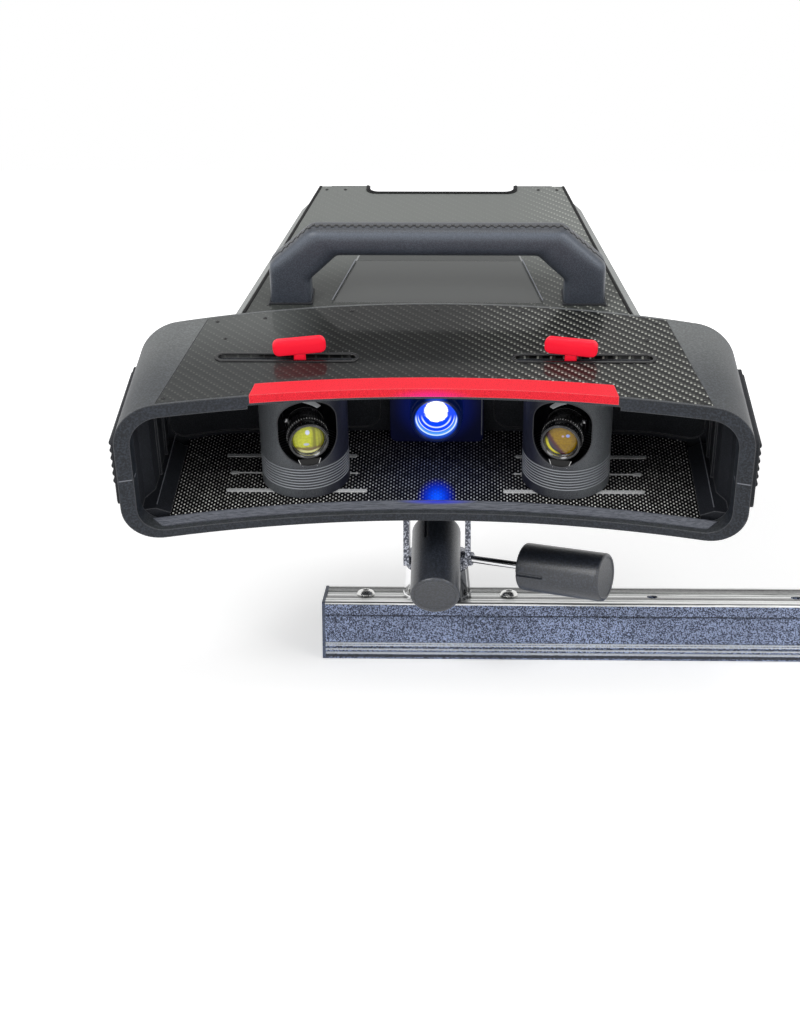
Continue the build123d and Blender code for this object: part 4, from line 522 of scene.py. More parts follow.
class Wire:
    """Output of a node. Arithmetic on it and its methods add the nodes that carry it on."""

    def __init__(self, tree: bpy.types.NodeTree, socket: bpy.types.NodeSocket) -> None:
        """Holds the output and the tree that it belongs to."""
        self.tree, self.socket = tree, socket

    def step(self, operation: str, *others: Wire | float) -> Wire:
        """One arithmetic step on this number and up to two more."""
        numbers = dict(enumerate((self, *others, 0.0, 0.0)[:3]))
        return add(self.tree, "Math", numbers, operation=operation)

    def __add__(self, other: Wire | float) -> Wire:
        """Their sum."""
        return self.step("ADD", other)

    def __sub__(self, other: Wire | float) -> Wire:
        """Their difference."""
        return self.step("SUBTRACT", other)

    def __rsub__(self, other: float) -> Wire:
        """A plain number less this one."""
        return add(self.tree, "Math", {0: other, 1: self, 2: 0.0}, operation="SUBTRACT")

    def __mul__(self, other: Wire | float) -> Wire:
        """Their product."""
        return self.step("MULTIPLY", other)

    def __truediv__(self, other: float) -> Wire:
        """This number divided by a plain one."""
        return self.step("DIVIDE", other)

    def __abs__(self) -> Wire:
        """Its size without its sign."""
        return self.step("ABSOLUTE")

    def __gt__(self, other: float) -> Wire:
        """1 where it is larger, else 0."""
        return self.step("GREATER_THAN", other)

    def __lt__(self, other: float) -> Wire:
        """1 where it is smaller, else 0."""
        return self.step("LESS_THAN", other)

    def larger(self, other: Wire) -> Wire:
        """The larger of the two."""
        return self.step("MAXIMUM", other)

    def fraction(self) -> Wire:
        """What it has beyond the whole number below it."""
        return self.step("FRACT")

    def scaled(self, gain: float, lift: float) -> Wire:
        """Its product with a gain, plus a lift."""
        return self.step("MULTIPLY_ADD", gain, lift)

    def ramp(self, low: float, high: float, start: float = 0.0, end: float = 1.0) -> Wire:
        """Carried smoothly from low..high to start..end, and held at both ends."""
        return add(self.tree, "MapRange", {"Value": self, "From Min": low, "From Max": high, "To Min": start,
                                           "To Max": end}, interpolation_type="SMOOTHSTEP")

    def band(self, middle: float, half: float, share: float) -> Wire:
        """Share on a line about a middle, with soft sides."""
        return abs(self - middle).ramp(half * 0.7, half * 1.3, share, 0.0)

    def mix(self, first: Wire | Colour, second: Wire | Colour) -> Wire:
        """Colour between two others, of which this is the second one's share."""
        return add(self.tree, "Mix", {"Factor": self, 6: first, 7: second}, 2, data_type="RGBA")

    def pick(self, first: Wire, second: Wire) -> Wire:
        """Number between two others, of which this is the second one's share."""
        return add(self.tree, "Mix", {0: self, 2: first, 3: second}, data_type="FLOAT")

    def mapped(self, **settings: Sequence[float]) -> Wire:
        """Coordinates after their Scale, Rotation and Location."""
        return add(self.tree, "Mapping", {"Vector": self, **settings}, vector_type="POINT")

    def stretched(self, *scale: float) -> Wire:
        """Coordinates scaled along each axis."""
        return self.mapped(Scale=scale)

    def noise(self, size: float, detail: float = 2.0, roughness: float = 0.5) -> Wire:
        """Soft noise whose grains are about as large as size."""
        return add(self.tree, "TexNoise", {"Vector": self, "Scale": 1.0 / size, "Detail": detail,
                                           "Roughness": roughness})

    def cells(self, size: float, smooth: float) -> Wire:
        """Smooth distance in a pattern of cells about as large as size."""
        return add(self.tree, "TexVoronoi", {"Vector": self, "Scale": 1.0 / size, "Smoothness": smooth},
                   feature="SMOOTH_F1")

    def vector(self, operation: str, *others: Wire, output: str = "Value") -> Wire:
        """One step of vector arithmetic."""
        return add(self.tree, "VectorMath", dict(enumerate((self, *others))), output, operation=operation)

    def xyz(self) -> tuple[Wire, ...]:
        """X, Y and Z of a vector."""
        return tuple(add(self.tree, "SeparateXYZ", {0: self}, axis) for axis in "XYZ")


def distance(across: Wire, along: Wire) -> Wire:
    """Length of a step by both, sqrt(a^2 + b^2)."""
    return (across * across + along * along).step("SQRT")


def layered(colour: Wire, *layers: tuple[Wire, Wire | Colour]) -> Wire:
    """A colour with others laid over it in turn, each by its own share."""
    for share, over in layers:
        colour = share.mix(colour, over)
    return colour


def tinted(colour: Colour, gain: float, lift: float = 0.0) -> Colour:
    """A colour made lighter or darker, up to white."""
    return tuple(min(value * gain + lift, 1.0) for value in colour)


def seen_directly(tree: bpy.types.NodeTree) -> Wire:
    """1 for rays of the camera, of gloss and of glass, and 0 for those that bring light."""
    camera, gloss, glass = (
        add(tree, "LightPath", output=f"Is {kind} Ray") for kind in ("Camera", "Glossy", "Transmission"))
    return camera.larger(gloss.larger(glass))


class Recipe:
    """One material with a principled shader, put together from wires."""

    def __init__(self, name: str) -> None:
        """Starts the material."""
        self.material = bpy.data.materials.new(name)
        self.material.use_nodes = True
        self.tree = self.material.node_tree
        self.tree.nodes.clear()
        shader = add(self.tree, "BsdfPrincipled")
        self.shader = shader.socket.node
        output = self.tree.nodes.new("ShaderNodeOutputMaterial")
        feed(output.inputs[0], shader)

    def set(self, **inputs: object) -> None:
        """Feeds the shader's own sockets; underscores stand for blanks."""
        for name, value in inputs.items():
            feed(self.shader.inputs[name.replace("_", " ")], value)

    def coords(self, space: Space = Space.LEVEL) -> Wire:
        """Object coordinates, in the shared frame or turned back to the level one."""
        source = add(self.tree, "TexCoord", output="Object")
        if space is Space.SHARED:
            return source
        place = -TIPPED.origin * MM @ TIPPED.axes.T
        return source.mapped(Rotation=(-math.radians(TIPPED.tilt), 0, 0), Location=tuple(place))

    def local(self, axes: Array, origin: Array) -> Wire:
        """Object coordinates measured along three axes from an origin in the shared frame."""
        source = add(self.tree, "TexCoord", output="Object")
        return source.mapped(Rotation=Matrix(axes.tolist()).to_euler(), Location=tuple(-axes @ origin))

    def radius(self, centre: Sequence[float]) -> Wire:
        """Distance from a line that runs along Y through a point of the level frame."""
        across, _, up = self.coords().xyz()
        return distance(across - centre[0], up - centre[2])

    def wash(self, centre: Sequence[float], reach: Sequence[float]) -> Wire:
        """Share of the projector's light: 1 at a centre in the level frame, 0 beyond an ellipsoid."""
        scale = tuple(1 / size for size in reach)
        place = tuple(-middle / size for middle, size in zip(centre, reach))
        return self.coords().mapped(Scale=scale, Location=place).vector("LENGTH").ramp(0.0, 1.0, 1.0, 0.0)

    def softened(self, radius: float) -> Wire:
        """Normal that rounds every edge by a small radius."""
        return add(self.tree, "Bevel", {"Radius": radius}, samples=6)

    def relief(self, height: Wire, depth: float, edge: float = 0.0) -> Wire:
        """Normal of a relief as high as depth, over edges that are rounded where edge is given."""
        under = {"Normal": self.softened(edge)} if edge else {}
        return add(self.tree, "Bump", {"Distance": depth, "Height": height, **under})

    def edges(self, radius: float, low: float = 0.02, high: float = 0.25) -> Wire:
        """Share from 0 on flats to 1 on edges: how far the rounded normal leaves the true one."""
        true = add(self.tree, "NewGeometry", output="Normal")
        return (1.0 - self.softened(radius).vector("DOT_PRODUCT", true)).ramp(low, high)

    def facing_up(self) -> Wire:
        """Z of the surface's normal in the object's frame."""
        return add(self.tree, "TexCoord", output="Normal").xyz()[2]


class Finish:
    """Base of the finishes, which set their materials' shaders in paint."""

    def make(self, name: str) -> bpy.types.Material:
        """New material with this finish."""
        recipe = Recipe(name)
        self.paint(recipe)
        return recipe.material

    def paint(self, recipe: Recipe) -> None:
        """Sets the shader; each finish has its own."""
        raise NotImplementedError


@dataclass(frozen=True)
class Moulded(Finish):
    """Moulded plastic with a fine eroded grain, a painted highlight on its edges and, where asked for, a painted
    reflection on faces that look up.

    Args:
        colour: Base colour.
        roughness: Mean roughness.
        grain: Size of the grain.
        depth: Depth of the grain.
        edge: Radius of softened edges.
        space: Frame of the pattern.
        sparkle: How much lighter the grain's crests are.
        specular: Specular level.
        worn: How far the edges go to a paler colour, a painted highlight.
        painted_reflection: How far faces that look up go to a pale painted reflection, which grows towards the rear.
        painted_reflection_from: Upward share of the normal where the painted reflection starts.
        coat: Weight of a dull coat.
    """

    colour: Colour
    roughness: float = 0.5
    grain: float = 0.5 * MM
    depth: float = 0.02 * MM
    edge: float = 0.5 * MM
    space: Space = Space.LEVEL
    sparkle: float = 1.6
    specular: float = 0.25
    worn: float = 0.35
    painted_reflection: float = 0.0
    painted_reflection_from: float = 0.15
    coat: float = 0.0

    def paint(self, recipe: Recipe) -> None:
        """Grain from fine noise, slow drifts of shade and gloss, a painted reflection on faces that look up and a
        painted highlight on the edges.
        """
        coords = recipe.coords(self.space)
        grain, drift = coords.noise(self.grain, 3.0, 0.6), coords.noise(40 * MM, 3.0, 0.6)
        speck = grain.ramp(0.38, 0.72)
        colour = (speck * 0.7 + drift * 0.3).mix(tinted(self.colour, 0.75), tinted(self.colour, 1 + self.sparkle))
        if self.painted_reflection:
            # Painted reflection: faces that look up, more towards the rear, go to a pale grey.
            painted_light = recipe.facing_up().ramp(self.painted_reflection_from, 0.95) * self.painted_reflection
            painted_light = painted_light * coords.xyz()[1].ramp(0.0, 100 * MM, 0.3, 1.0) * speck.scaled(0.35, 0.75)
            colour = painted_light.mix(colour, (0.34, 0.355, 0.345))
        # Painted highlight: the edges go to a paler colour.
        colour = (recipe.edges(self.edge * 2.0) * self.worn).mix(colour, tinted(self.colour, 2.5, 0.10))
        recipe.set(Base_Color=colour, Roughness=drift * 0.16 + (self.roughness - 0.08),
                   Normal=recipe.relief(grain, self.depth, self.edge), Specular_IOR_Level=self.specular,
                   Coat_Weight=self.coat, Coat_Roughness=0.3)


@dataclass(frozen=True)
class Twill(Finish):
    """Two-by-two twill laminate under a clear coat, with painted glints on its crossings and a painted reflection in
    places.

    Args:
        dark: Colour of the tow that runs away.
        light: Colour of the painted glint on each crossing.
        near: Colour of the painted reflection towards the front.
        far: Colour of the painted reflection towards the rear.
        run: Y where the painted reflection has the near colour and where it has the far one.
        spread: X where the painted reflection is full and where it ends.
        lively: X where the painted glints are faint and where they are full.
        faint: Share of the painted glints where they are faint.
        inlay: Y where a smooth cover's colour starts and ends, if any.
        tow: Width of one tow.
        roughness: Roughness of the weave.
    """

    dark: Colour = (0.0060, 0.0064, 0.0064)
    light: Colour = (0.50, 0.51, 0.46)
    near: Colour = (0.024, 0.026, 0.026)
    far: Colour = (0.085, 0.090, 0.088)
    run: tuple[float, float] = (20.0 * MM, 110.0 * MM)
    spread: tuple[float, float] = (-128.0 * MM, -70.0 * MM)
    lively: tuple[float, float] = (0.0 * MM, 92.0 * MM)
    faint: float = 0.10
    inlay: tuple[float, float] | None = None
    tow: float = 2.35 * MM
    roughness: float = 0.5

    def paint(self, recipe: Recipe) -> None:
        """Cells of one tow each, stepped by one per row, whose phase picks tow and painted glint.

        Cell (i, j) has the phase (i + j) mod 4. Phase 0 carries the glint, 0 and 1 show the crossing
        tow, 2 and 3 the running one. Each tow is lower towards its sides.
        """
        coords = recipe.coords()
        x, y, _ = coords.xyz()
        across, along, _ = coords.stretched(1 / self.tow, 1 / self.tow, 1).xyz()
        across = across + coords.noise(6 * MM) * 0.12
        phase = (across.step("FLOOR") + along.step("FLOOR")).step("FLOORED_MODULO", 4.0)
        in_x, in_y = across.fraction() - 0.5, along.fraction() - 0.5
        is_crossing = phase < 1.5
        # Painted glint: a pale spot in the middle of each phase-0 cell.
        glint = phase.step("COMPARE", 0.0, 0.4) * distance(in_x, in_y).ramp(0.14, 0.46, 1.0, 0.0)
        # Painted sheen along the middle of each crossing tow.
        ends = is_crossing * abs(in_x).ramp(0.2, 0.5, 0.26, 0.05)
        drift = coords.noise(45 * MM).ramp(0.35, 0.65, 0.75, 1.0)
        # The painted glints go from faint to full across X.
        share = (glint + ends * coords.noise(0.35 * MM)) * (drift * x.ramp(*self.lively, self.faint, 1.0))
        # Painted reflection: a tone from the near to the far colour over the dark one, by Y and by X.
        painted_light = y.ramp(*self.run).mix(self.near, self.far)
        colour = share.mix(x.ramp(*self.spread, 1.0, 0.0).mix(self.dark, painted_light), self.light)
        if self.inlay:
            colour = self._inlaid(colour, x, y)
        crown_x, crown_y = (abs(inside).ramp(0.1, 0.5, 1.0, 0.0) for inside in (in_x, in_y))
        recipe.set(Base_Color=colour, Roughness=self.roughness, Coat_Weight=0.30, Coat_Roughness=0.10,
                   Normal=recipe.relief(is_crossing.pick(crown_y, crown_x), 0.05 * MM), Specular_IOR_Level=0.08)

    def _inlaid(self, colour: Wire, x: Wire, y: Wire) -> Wire:
        """Carries the smooth cover's colour and its edge lines on behind the cover, whose sides draw in."""
        half = y.scaled(-14.0 / 72.0, 80.0 * MM + 139.0 * MM * 14.0 / 72.0)
        off = abs(x) - half
        run = (y > self.inlay[0]) * (y < self.inlay[1])
        return layered(colour, (run * (off < 0.0), COVER), (run * (abs(off) < 0.6 * MM), (0.30, 0.31, 0.31)))


@dataclass(frozen=True)
class Hammered(Finish):
    """Hammered enamel: rounded dimples with bright crests, and a painted highlight on its edges.

    Args:
        low: Colour in the dimples.
        high: Colour on the crests.
        cell: Size of a dimple.
        depth: Depth of a dimple.
        roughness: Roughness of the enamel.
        metallic: Share of metal flake.
        edge: Radius of softened edges.
        specular: Specular level.
        worn: How far the edges go to a paler colour, a painted highlight.
    """

    low: Colour
    high: Colour
    cell: float = 1.1 * MM
    depth: float = 0.12 * MM
    roughness: float = 0.38
    metallic: float = 0.0
    edge: float = 0.35 * MM
    specular: float = 0.35
    worn: float = 0.5

    def paint(self, recipe: Recipe) -> None:
        """Worm-like noise and finer noise on it give both the relief and the shade; the edges get a painted highlight.
        """
        coords = recipe.coords()
        height = coords.noise(self.cell, 1.5, 0.55).ramp(0.47, 0.61)
        share = height * 0.7 + coords.noise(self.cell * 0.35, 2.0, 0.6) * 0.3
        # Painted highlight: the edges go to a paler colour.
        worn = (recipe.edges(self.edge * 1.3) * self.worn, tinted(self.high, 2.2, 0.05))
        recipe.set(Base_Color=layered(share.mix(self.low, self.high), worn), Roughness=self.roughness,
                   Normal=recipe.relief(share, self.depth, self.edge), Metallic=self.metallic,
                   Specular_IOR_Level=self.specular)


@dataclass(frozen=True)
class Gloss(Finish):
    """Smooth glossy plastic or paint, with dust-fine waviness, and where asked for a painted highlight on its edges and
    a painted glow.

    Args:
        colour: Base colour.
        roughness: Roughness.
        coat: Weight of the clear coat.
        edge: Radius of softened edges.
        specular: Specular level.
        worn: How far the edges go to a paler colour, a painted highlight.
        lit: Strength of emission in its own colour, a painted glow, though it is no lamp.
    """

    colour: Colour
    roughness: float = 0.3
    coat: float = 0.2
    edge: float = 0.4 * MM
    specular: float = 0.3
    worn: float = 0.0
    lit: float = 0.0

    def paint(self, recipe: Recipe) -> None:
        """Slow waves in the surface, fine changes of shade, a painted highlight on the edges and a painted glow from
        emission.
        """
        coords = recipe.coords()
        fine = coords.noise(0.5 * MM, 3.0, 0.7)
        colour = fine.mix(tinted(self.colour, 0.86), tinted(self.colour, 1.12))
        if self.worn:
            # Painted highlight: the edges go to a paler colour.
            colour = (recipe.edges(self.edge * 1.2) * self.worn).mix(colour, tinted(self.colour, 0.55, 0.45))
        recipe.set(Base_Color=colour, Roughness=fine * 0.12 + (self.roughness - 0.06), Coat_Weight=self.coat,
                   Normal=recipe.relief(coords.noise(9 * MM, 3.0), 0.03 * MM, self.edge), Coat_Roughness=0.12,
                   Specular_IOR_Level=self.specular)
        if self.lit:
            # Painted glow: emission in its own colour.
            recipe.set(Emission_Color=self.colour, Emission_Strength=self.lit)


@dataclass(frozen=True)
class TrimPaint(Finish):
    """Fine-grained red paint with a painted highlight along its edges, and painted blue light of the projector, from
    emission, in its middle.

    Args:
        colour: Colour of the paint.
        centre: Where the light falls, in the level frame.
        reach: How far it reaches along X, Y and Z.
    """

    colour: Colour = (0.88, 0.011, 0.028)
    centre: Triple = (-2.0 * MM, 0.0, 103.0 * MM)
    reach: Triple = (34.0 * MM, 9.0 * MM, 8.5 * MM)

    def paint(self, recipe: Recipe) -> None:
        """Speckle under a painted highlight on the edges, and painted blue light, from emission, that turns the red to
        magenta.
        """
        fine = recipe.coords().noise(0.6 * MM, 3.0, 0.7)
        colour = fine.ramp(0.35, 0.65).mix(tinted(self.colour, 0.80), tinted(self.colour, 1.25, 0.012))
        # Painted highlight on the edges; painted light of the projector as emission.
        recipe.set(Base_Color=layered(colour, (recipe.edges(0.9 * MM) * 0.5, (1.0, 0.34, 0.36))),
                   Roughness=fine.scaled(0.2, 0.38), Specular_IOR_Level=0.22,
                   Normal=recipe.relief(fine, 0.02 * MM, 0.4 * MM), Emission_Color=(0.14, 0.0, 0.26),
                   Emission_Strength=recipe.wash(self.centre, self.reach) * 0.9)


@dataclass(frozen=True)
class TurretPaint(Finish):
    """Textured dark paint with a painted highlight on the lower flanks of its foot grooves, painted shade in their
    hollows, painted light on the outer side, painted blue shade on the inner side and a painted highlight on its edges.

    Args:
        low: Colour of the paint's hollows.
        high: Colour of its crests.
        start: Height of the lowest groove in the level frame.
        pitch: Spacing of the grooves.
        count: Number of grooves.
    """

    low: Colour = (0.0085, 0.0095, 0.0125)
    high: Colour = (0.050, 0.054, 0.064)
    start: float = 20.3 * MM
    pitch: float = 2.3 * MM
    count: int = 8

    def paint(self, recipe: Recipe) -> None:
        """Speckled grain; each groove's pitch has a painted highlight about 0.10 of it and painted shade about 0.42."""
        coords = recipe.coords()
        across, _, up = coords.xyz()
        out = abs(across)
        grain = coords.noise(0.7 * MM, 2.0, 0.6)
        share = grain.ramp(0.36, 0.66) * 0.65 + coords.noise(22 * MM) * 0.35
        rows = (up - self.start) / self.pitch
        inside = (rows > 0.0) * (rows < float(self.count) - 0.34)
        # Painted highlight on each groove's lower flanks and painted shade in its hollows.
        painted_flank_highlight = inside * abs(rows.fraction() - 0.10).ramp(0.05, 0.17, 1.0, 0.0)
        painted_groove_shade = inside * abs(rows.fraction() - 0.42).ramp(0.08, 0.26, 1.0, 0.0)
        # Painted light: the outer side goes paler.
        painted_light = out.ramp(92 * MM, 118 * MM, 0.15, 1.0) * grain.ramp(0.3, 0.7, 0.5, 1.0)
        # Over the grain lie the painted light, painted blue shade on the inner side, the painted shade, the painted
        # highlight and a painted highlight on the edges.
        colour = layered(
            share.mix(self.low, self.high), (painted_light, (0.125, 0.135, 0.145)),
            (out.ramp(86 * MM, 70 * MM, 0.0, 0.8), (0.003, 0.004, 0.016)), (painted_groove_shade * 0.92, (0.002, 0.002, 0.003)),
            (painted_flank_highlight * 0.85, (0.34, 0.36, 0.39)), (recipe.edges(0.4 * MM) * 0.5, (0.22, 0.23, 0.26)))
        recipe.set(Base_Color=colour, Roughness=0.46, Specular_IOR_Level=0.35,
                   Normal=recipe.relief(grain, 0.10 * MM, 0.3 * MM))


@dataclass(frozen=True)
class ChromeWithPaintedReflections(Finish):
    """Chrome of a turned part, with painted reflections: dark streaks that run along its axis.

    Args:
        axes: Its own axes; Z is the axis it was turned about.
        origin: A point on that axis.
        dark: Colour of the painted dark reflections.
        bands: How many painted reflection streaks go round, roughly.
    """

    axes: Array
    origin: Array
    dark: Colour = (0.035, 0.038, 0.045)
    bands: float = 3.0

    def paint(self, recipe: Recipe) -> None:
        """Noise over the direction from the axis, held sharp, picks bright chrome and painted dark reflections."""
        coords = recipe.local(self.axes, self.origin)
        out = coords.stretched(1, 1, 0).vector("NORMALIZE", output="Vector")
        fine = coords.stretched(1, 1, 0.1).noise(0.5 * MM, 3.0, 0.6)
        share = out.stretched(*(self.bands,) * 3).noise(1.0).ramp(0.50, 0.58) * fine.scaled(0.4, 0.75)
        recipe.set(Base_Color=share.mix((0.88, 0.88, 0.89), self.dark), Metallic=1.0, Roughness=0.12,
                   Normal=recipe.relief(fine, 0.004 * MM, 0.3 * MM))


@dataclass(frozen=True)
class Metal(Finish):
    """Ground metal.

    Args:
        colour: Colour of the metal.
        roughness: Mean roughness.
        grain: Size of its grain.
        depth: Depth of the grain.
        edge: Radius of softened edges.
    """

    colour: Colour
    roughness: float = 0.2
    grain: float = 0.3 * MM
    depth: float = 0.006 * MM
    edge: float = 0.3 * MM

    def paint(self, recipe: Recipe) -> None:
        """Fine noise in the relief, and smudges that change the gloss."""
        coords = recipe.coords(Space.SHARED)
        grain = coords.stretched(*(1 / self.grain,) * 3).noise(1.0, 3.0, 0.6)
        smudge = coords.noise(12 * MM, 4.0, 0.6)
        recipe.set(Base_Color=smudge.mix(tinted(self.colour, 0.8), self.colour), Metallic=1.0,
                   Roughness=smudge * 0.2 + (self.roughness - 0.1), Normal=recipe.relief(grain, self.depth, self.edge))


@dataclass(frozen=True)
class RailFinish(Finish):
    """Crossbar: hammered enamel on the sides, ground bright metal with dark drawn bands on top.

    Args:
        top: Height above which the metal is bare.
        bands: Middle, half width and darkness of each dark band of the top, along Y.
        dark_lines: Middle and half width of each dark line of the sides, along Z.
        pale_lines: The same for the pale ones.
    """

    top: float = 45.2 * MM
    bands: tuple[Triple, ...] = (
        (14.2 * MM, 5.4 * MM, 0.95), (2.5 * MM, 0.9 * MM, 0.8), (-2.3 * MM, 0.9 * MM, 0.8),
        (-7.8 * MM, 4.3 * MM, 0.95), (-22.0 * MM, 0.9 * MM, 0.97))
    dark_lines: tuple[tuple[float, float], ...] = ((36.3 * MM, 0.55 * MM), (2.9 * MM, 1.2 * MM), (9.7 * MM, 0.4 * MM))
    pale_lines: tuple[tuple[float, float], ...] = (
        (13.1 * MM, 0.5 * MM), (11.5 * MM, 0.5 * MM), (8.1 * MM, 0.45 * MM), (5.2 * MM, 0.8 * MM))

    def paint(self, recipe: Recipe) -> None:
        """Height picks enamel or bare metal; worm-like dimples in one, streaks and bands in the other."""
        coords = recipe.coords(Space.SHARED)
        _, across, height = coords.xyz()
        bare = height > self.top
        worm = coords.noise(0.85 * MM, 1.0, 0.45) + coords.noise(0.4 * MM, 2.0, 0.6) * 0.25
        shade = worm.ramp(0.575, 0.685) * coords.noise(45 * MM).ramp(0.3, 0.7, 0.7, 1.0)
        enamel = layered(
            shade.mix((0.030, 0.040, 0.075), (0.42, 0.51, 0.76)),
            *((height.band(*line, 0.92), (0.012, 0.013, 0.016)) for line in self.dark_lines),
            *((height.band(*line, 0.85), (0.80, 0.83, 0.86)) for line in self.pale_lines))
        streak = coords.stretched(0.012, 1.0, 1.0).noise(0.7 * MM, 4.0, 0.75)
        smear = coords.stretched(0.06, 1.0, 1.0).noise(6.0 * MM, 3.0, 0.6)
        chips = coords.stretched(0.5, 1.0, 1.0).noise(1.1 * MM, 2.0, 0.6).ramp(0.3, 0.62, 1.0, 0.86)
        metal = layered(
            (streak * 0.7 + smear * 0.3).ramp(0.36, 0.52).mix((0.30, 0.31, 0.30), (0.90, 0.91, 0.90)),
            *((across.band(*band) * chips, (0.012, 0.012, 0.013)) for band in self.bands))
        recipe.set(Base_Color=bare.mix(enamel, metal), Roughness=bare.scaled(-0.12, 0.42), Metallic=bare * 0.8,
                   Normal=recipe.relief(shade * (1.0 - bare), 0.2 * MM, 0.4 * MM))


@dataclass(frozen=True)
class Perforated(Finish):
    """Black sheet with staggered punched holes, a painted highlight on each hole's rim and painted blue light of the
    projector.

    Args:
        column: Spacing of the columns.
        row: Spacing of the holes along a column.
        hole: Radius of a hole.
        pool: Middle of the painted pool of the projector's light on the sheet, in the level frame.
    """

    column: float = 2.2 * MM
    row: float = 4.55 * MM
    hole: float = 0.56 * MM
    pool: Triple = (1.4 * MM, 13.0 * MM, 13.5 * MM)

    def paint(self, recipe: Recipe) -> None:
        """Nearest distance, in millimetres, to two lattices that are offset by half a cell each way."""
        coords = recipe.coords()
        lattices = []
        for offset in (0.0, 0.5):
            across, along, _ = coords.mapped(
                Scale=(0.5 / self.column, 1 / self.row, 1), Location=(offset, offset, 0)).xyz()
            lattices.append(distance((across.fraction() - 0.5) * (2 * self.column / MM),
                                     (along.fraction() - 0.5) * (self.row / MM * 0.56)))
        nearest = lattices[0].step("MINIMUM", lattices[1])
        # Pale rims of the holes: painted highlight.
        stud = nearest.ramp(self.hole / MM * 0.7, self.hole / MM * 1.3, 1.0, 0.0)
        share = stud * coords.noise(5 * MM, 3.0, 0.7).ramp(0.35, 0.65, 0.35, 1.0)
        # Painted blue light of the projector over the middle of the sheet.
        middle = recipe.wash((0.0, 45 * MM, 13.5 * MM), (95 * MM, 90 * MM, 40 * MM)) * 0.9
        painted_rim_highlight = middle.mix((0.95, 0.95, 0.92), (0.28, 0.33, 0.46))
        ground = middle.mix((0.0022, 0.0022, 0.0026), (0.0016, 0.0018, 0.009))
        # Painted pool of the projector's blue light, in colour and in emission.
        pool = recipe.wash(self.pool, (16 * MM, 29 * MM, 20 * MM))
        recipe.set(Base_Color=layered(share.mix(ground, painted_rim_highlight), (pool.ramp(0.0, 0.5), (0.0, 0.01, 0.12))),
                   Roughness=0.5, Normal=recipe.relief(stud, 0.15 * MM), Specular_IOR_Level=0.08,
                   Emission_Color=(pool * pool).mix((0.0, 0.015, 0.85), (0.0, 0.10, 1.0)),
                   Emission_Strength=pool * stud.scaled(0.35, 0.9))


@dataclass(frozen=True)
class Leather(Finish):
    """Wrapped leather with a pebbled grain, painted lighter on the front faces and painted darker on top and
    underneath.

    Args:
        colour: Colour of the face.
        worn: Colour of the crests and of the painted highlight on the front faces.
    """

    colour: Colour = (0.012, 0.015, 0.023)
    worn: Colour = (0.105, 0.125, 0.160)

    def paint(self, recipe: Recipe) -> None:
        """Cells for the grain, finer noise for the pores, and painted light and shade that go by the upward share."""
        coords = recipe.coords()
        crest = coords.cells(0.9 * MM, 0.4).ramp(0.15, 0.7, 1.0, 0.0)
        height = crest * 0.7 + coords.noise(0.35 * MM, 3.0, 0.65) * 0.3
        drift = coords.noise(25 * MM, 3.0, 0.6)
        up = recipe.facing_up()
        # Painted highlight on the front faces and painted shade on top and underneath.
        painted_front_light = up.ramp(-0.40, 0.15, 0.45, 1.0) * up.ramp(0.3, 0.85, 1.0, 0.1)
        share = height * drift.ramp(0.3, 0.7, 0.32, 0.45) + painted_front_light.scaled(0.62, -0.13)
        recipe.set(Base_Color=share.mix(self.colour, self.worn), Roughness=drift * 0.14 + 0.40,
                   Normal=recipe.relief(height, 0.05 * MM), Specular_IOR_Level=0.5, Coat_Weight=0.3,
                   Coat_Roughness=0.35)


